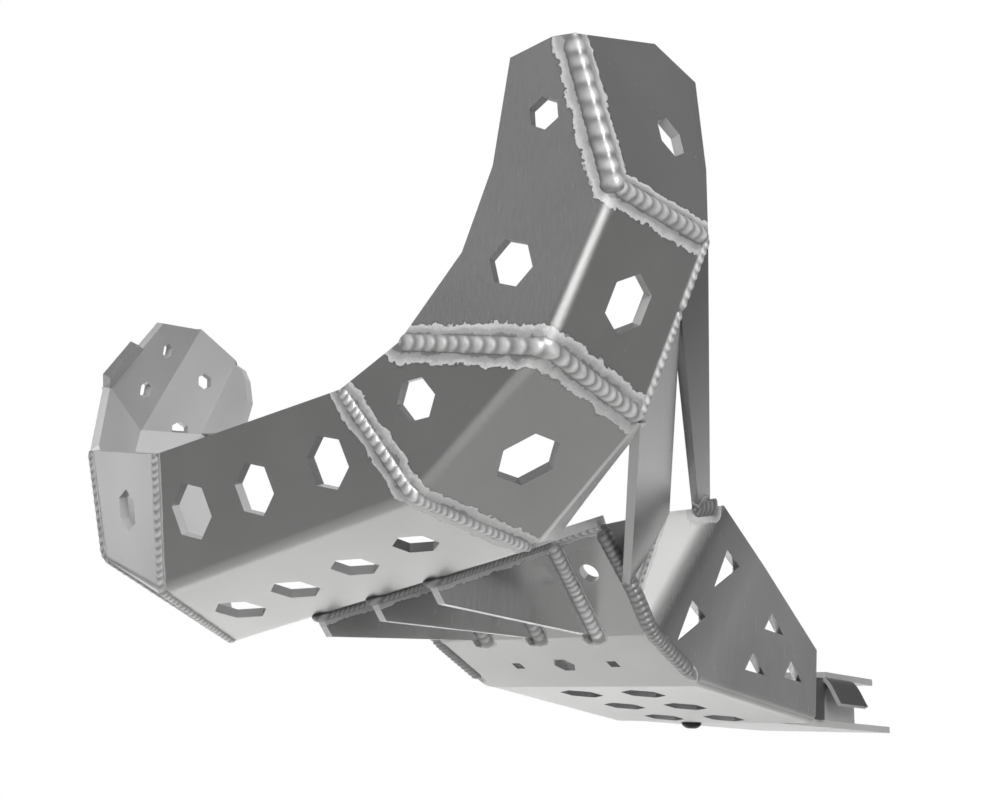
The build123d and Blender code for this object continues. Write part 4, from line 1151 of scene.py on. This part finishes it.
# %% Lip
LIP_ROWS = 30
LIP_STEPS = 12
LIP_TURN = math.radians(23)
LIP_CURL = 0.0035
LIP_START = -0.001
LIP_WIDE = 0.020
LIP_NARROW = 0.009
LIP_TAPER = 1.5
LIP_ENDS = (0.06, 0.97)
LIP_TONE = 0.80
SHARP = math.radians(40)
lip_along = (REAR_EDGE[3] - REAR_EDGE[2]).normalized()
lip_back = REAR_FACE[1].cross(lip_along).normalized()


def lip_row(made, share):
    """Outer and inner points of the lip across its width, at a share of its length."""
    width = LIP_NARROW + (LIP_WIDE - LIP_NARROW) * (1 - share) ** LIP_TAPER
    point = REAR_EDGE[3].lerp(REAR_EDGE[2], share) + lip_back * LIP_START
    outer, inner = [], []
    for step in range(LIP_STEPS + 1):
        turned = LIP_TURN * min(1.0, width * step / LIP_STEPS / LIP_CURL)
        normal = REAR_FACE[1] * math.cos(turned) + lip_back * math.sin(turned)
        outer.append(made.verts.new(point))
        inner.append(made.verts.new(point - normal * SHEET))
        ahead = lip_back * math.cos(turned) - REAR_FACE[1] * math.sin(turned)
        point = point + ahead * (width - LIP_START) / LIP_STEPS
    return outer + inner[::-1]


lip_made = bmesh.new()
low_end, high_end = LIP_ENDS
lip_shares = [low_end + (high_end - low_end) * row / LIP_ROWS for row in range(LIP_ROWS + 1)]
skin(lip_made, [lip_row(lip_made, share) for share in lip_shares])
for face in lip_made.faces:
    face.smooth = True
for edge in lip_made.edges:
    edge.smooth = edge.calc_face_angle(0.0) < SHARP
lip_sheet = sheet_finish("sheet_lip", [], tone=LIP_TONE)
lip = show_piece(lip_made, "middle_lip", lip_sheet, "aluminium_sheet")
print("lip faces:", len(lip.data.polygons))

# %% [markdown]
# ## The clip
# The clip is a strip of thin steel, bent over a rounded tool, so its arch has no sharp corner.
# The mesh follows one smooth curve with a fixed thickness. The faces of the near cut edge and of
# the strap's lower end carry a mark that the material reads. There the colour is bare steel grey,
# partly where the coating has come off and partly a painted highlight where these edges catch the
# light. The leg widens under the arch.

# %% Clip
CLIP_PLACE = Vector((-0.058, -0.152, 0.0))
CLIP_SLOPE = math.radians(6)
CLIP_ALONG = Vector((0.0, -math.cos(CLIP_SLOPE), math.sin(CLIP_SLOPE)))
CLIP_UP = Vector((0.0, math.sin(CLIP_SLOPE), math.cos(CLIP_SLOPE)))
CLIP_SHEET = 0.0032
CLIP_STEPS = 24
STRAP_ENDS = (0.065, 0.112)
BARE_STEEL_AND_HIGHLIGHT = 0.46
# Handles of the arch, as distances out from the edge and up
ARCH = [
    Vector((0.0, 0.0365)),
    Vector((0.0078, 0.0375)),
    Vector((0.0100, 0.0300)),
    Vector((0.0170, 0.0170)),
]
# Corners of the leg, as distances along the tongue and up
LEG = [
    (0.0580, 0.0050),
    (0.0655, 0.0050),
    (0.0660, 0.0170),
    (0.0668, 0.0215),
    (0.0686, 0.0258),
    (0.0715, 0.0292),
    (0.0755, 0.0318),
    (0.0800, 0.0332),
    (0.0800, 0.0355),
    (0.0580, 0.0355),
]
clip_tree = dark_clip.node_tree
clip_shader = clip_tree.nodes["Principled BSDF"]
bare_and_lit = clip_tree.nodes.new("ShaderNodeAttribute")
bare_and_lit.attribute_name = "bare_and_lit"
coat = clip_shader.inputs["Base Color"].links[0].from_socket
# Where the mark is, the colour turns bare steel grey: partly coating come off, partly painted
# highlight
bare_and_lit_colour = blend_colour(clip_tree, bare_and_lit.outputs["Fac"], coat, grey(BARE_STEEL_AND_HIGHLIGHT))
wire(clip_tree, bare_and_lit_colour, clip_shader.inputs["Base Color"])


def clip_point(along, out, up):
    """A point of the clip, measured along the tongue, out from its edge and up."""
    return CLIP_PLACE + CLIP_ALONG * along + LEFT * out + CLIP_UP * up


def arch_point(share):
    """A point of the arch and its direction, on one smooth curve through four handles."""
    a, b, c, d = ARCH
    e, f, g = a.lerp(b, share), b.lerp(c, share), c.lerp(d, share)
    first, second = e.lerp(f, share), f.lerp(g, share)
    return first.lerp(second, share), (second - first).normalized()


clip_made = bmesh.new()
bare_and_lit_layer = clip_made.faces.layers.float.new("bare_and_lit")
strap = []
for step in range(CLIP_STEPS + 1):
    outer, ahead = arch_point(step / CLIP_STEPS)
    inner = outer + Vector((ahead.y, -ahead.x)) * CLIP_SHEET
    near, far = STRAP_ENDS
    ring = [(near, outer), (far, outer), (far, inner), (near, inner)]
    strap.append([clip_made.verts.new(clip_point(along, spot.x, spot.y)) for along, spot in ring])
for ring, after in zip(strap, strap[1:]):
    for k in range(4):
        j = (k + 1) % 4
        face = clip_made.faces.new((ring[k], ring[j], after[j], after[k]))
        # Only the near cut edge carries the mark of bare steel and painted highlight
        face[bare_and_lit_layer] = 1.0 if k == 3 else 0.0
clip_made.faces.new(strap[0][::-1])
clip_made.faces.new(strap[-1])[bare_and_lit_layer] = 1.0
leg = []
for out in (-CLIP_SHEET, CLIP_SHEET):
    leg.append([clip_made.verts.new(clip_point(along, out, up)) for along, up in LEG])
for k in range(len(LEG)):
    j = (k + 1) % len(LEG)
    clip_made.faces.new((leg[0][k], leg[0][j], leg[1][j], leg[1][k]))
clip_made.faces.new(leg[0][::-1])
clip_made.faces.new(leg[1])
bmesh.ops.recalc_face_normals(clip_made, faces=clip_made.faces)
clip = show_piece(clip_made, "bent_clip", dark_clip, "dark_clip", "rear_hook")
print("clip faces:", len(clip.data.polygons))
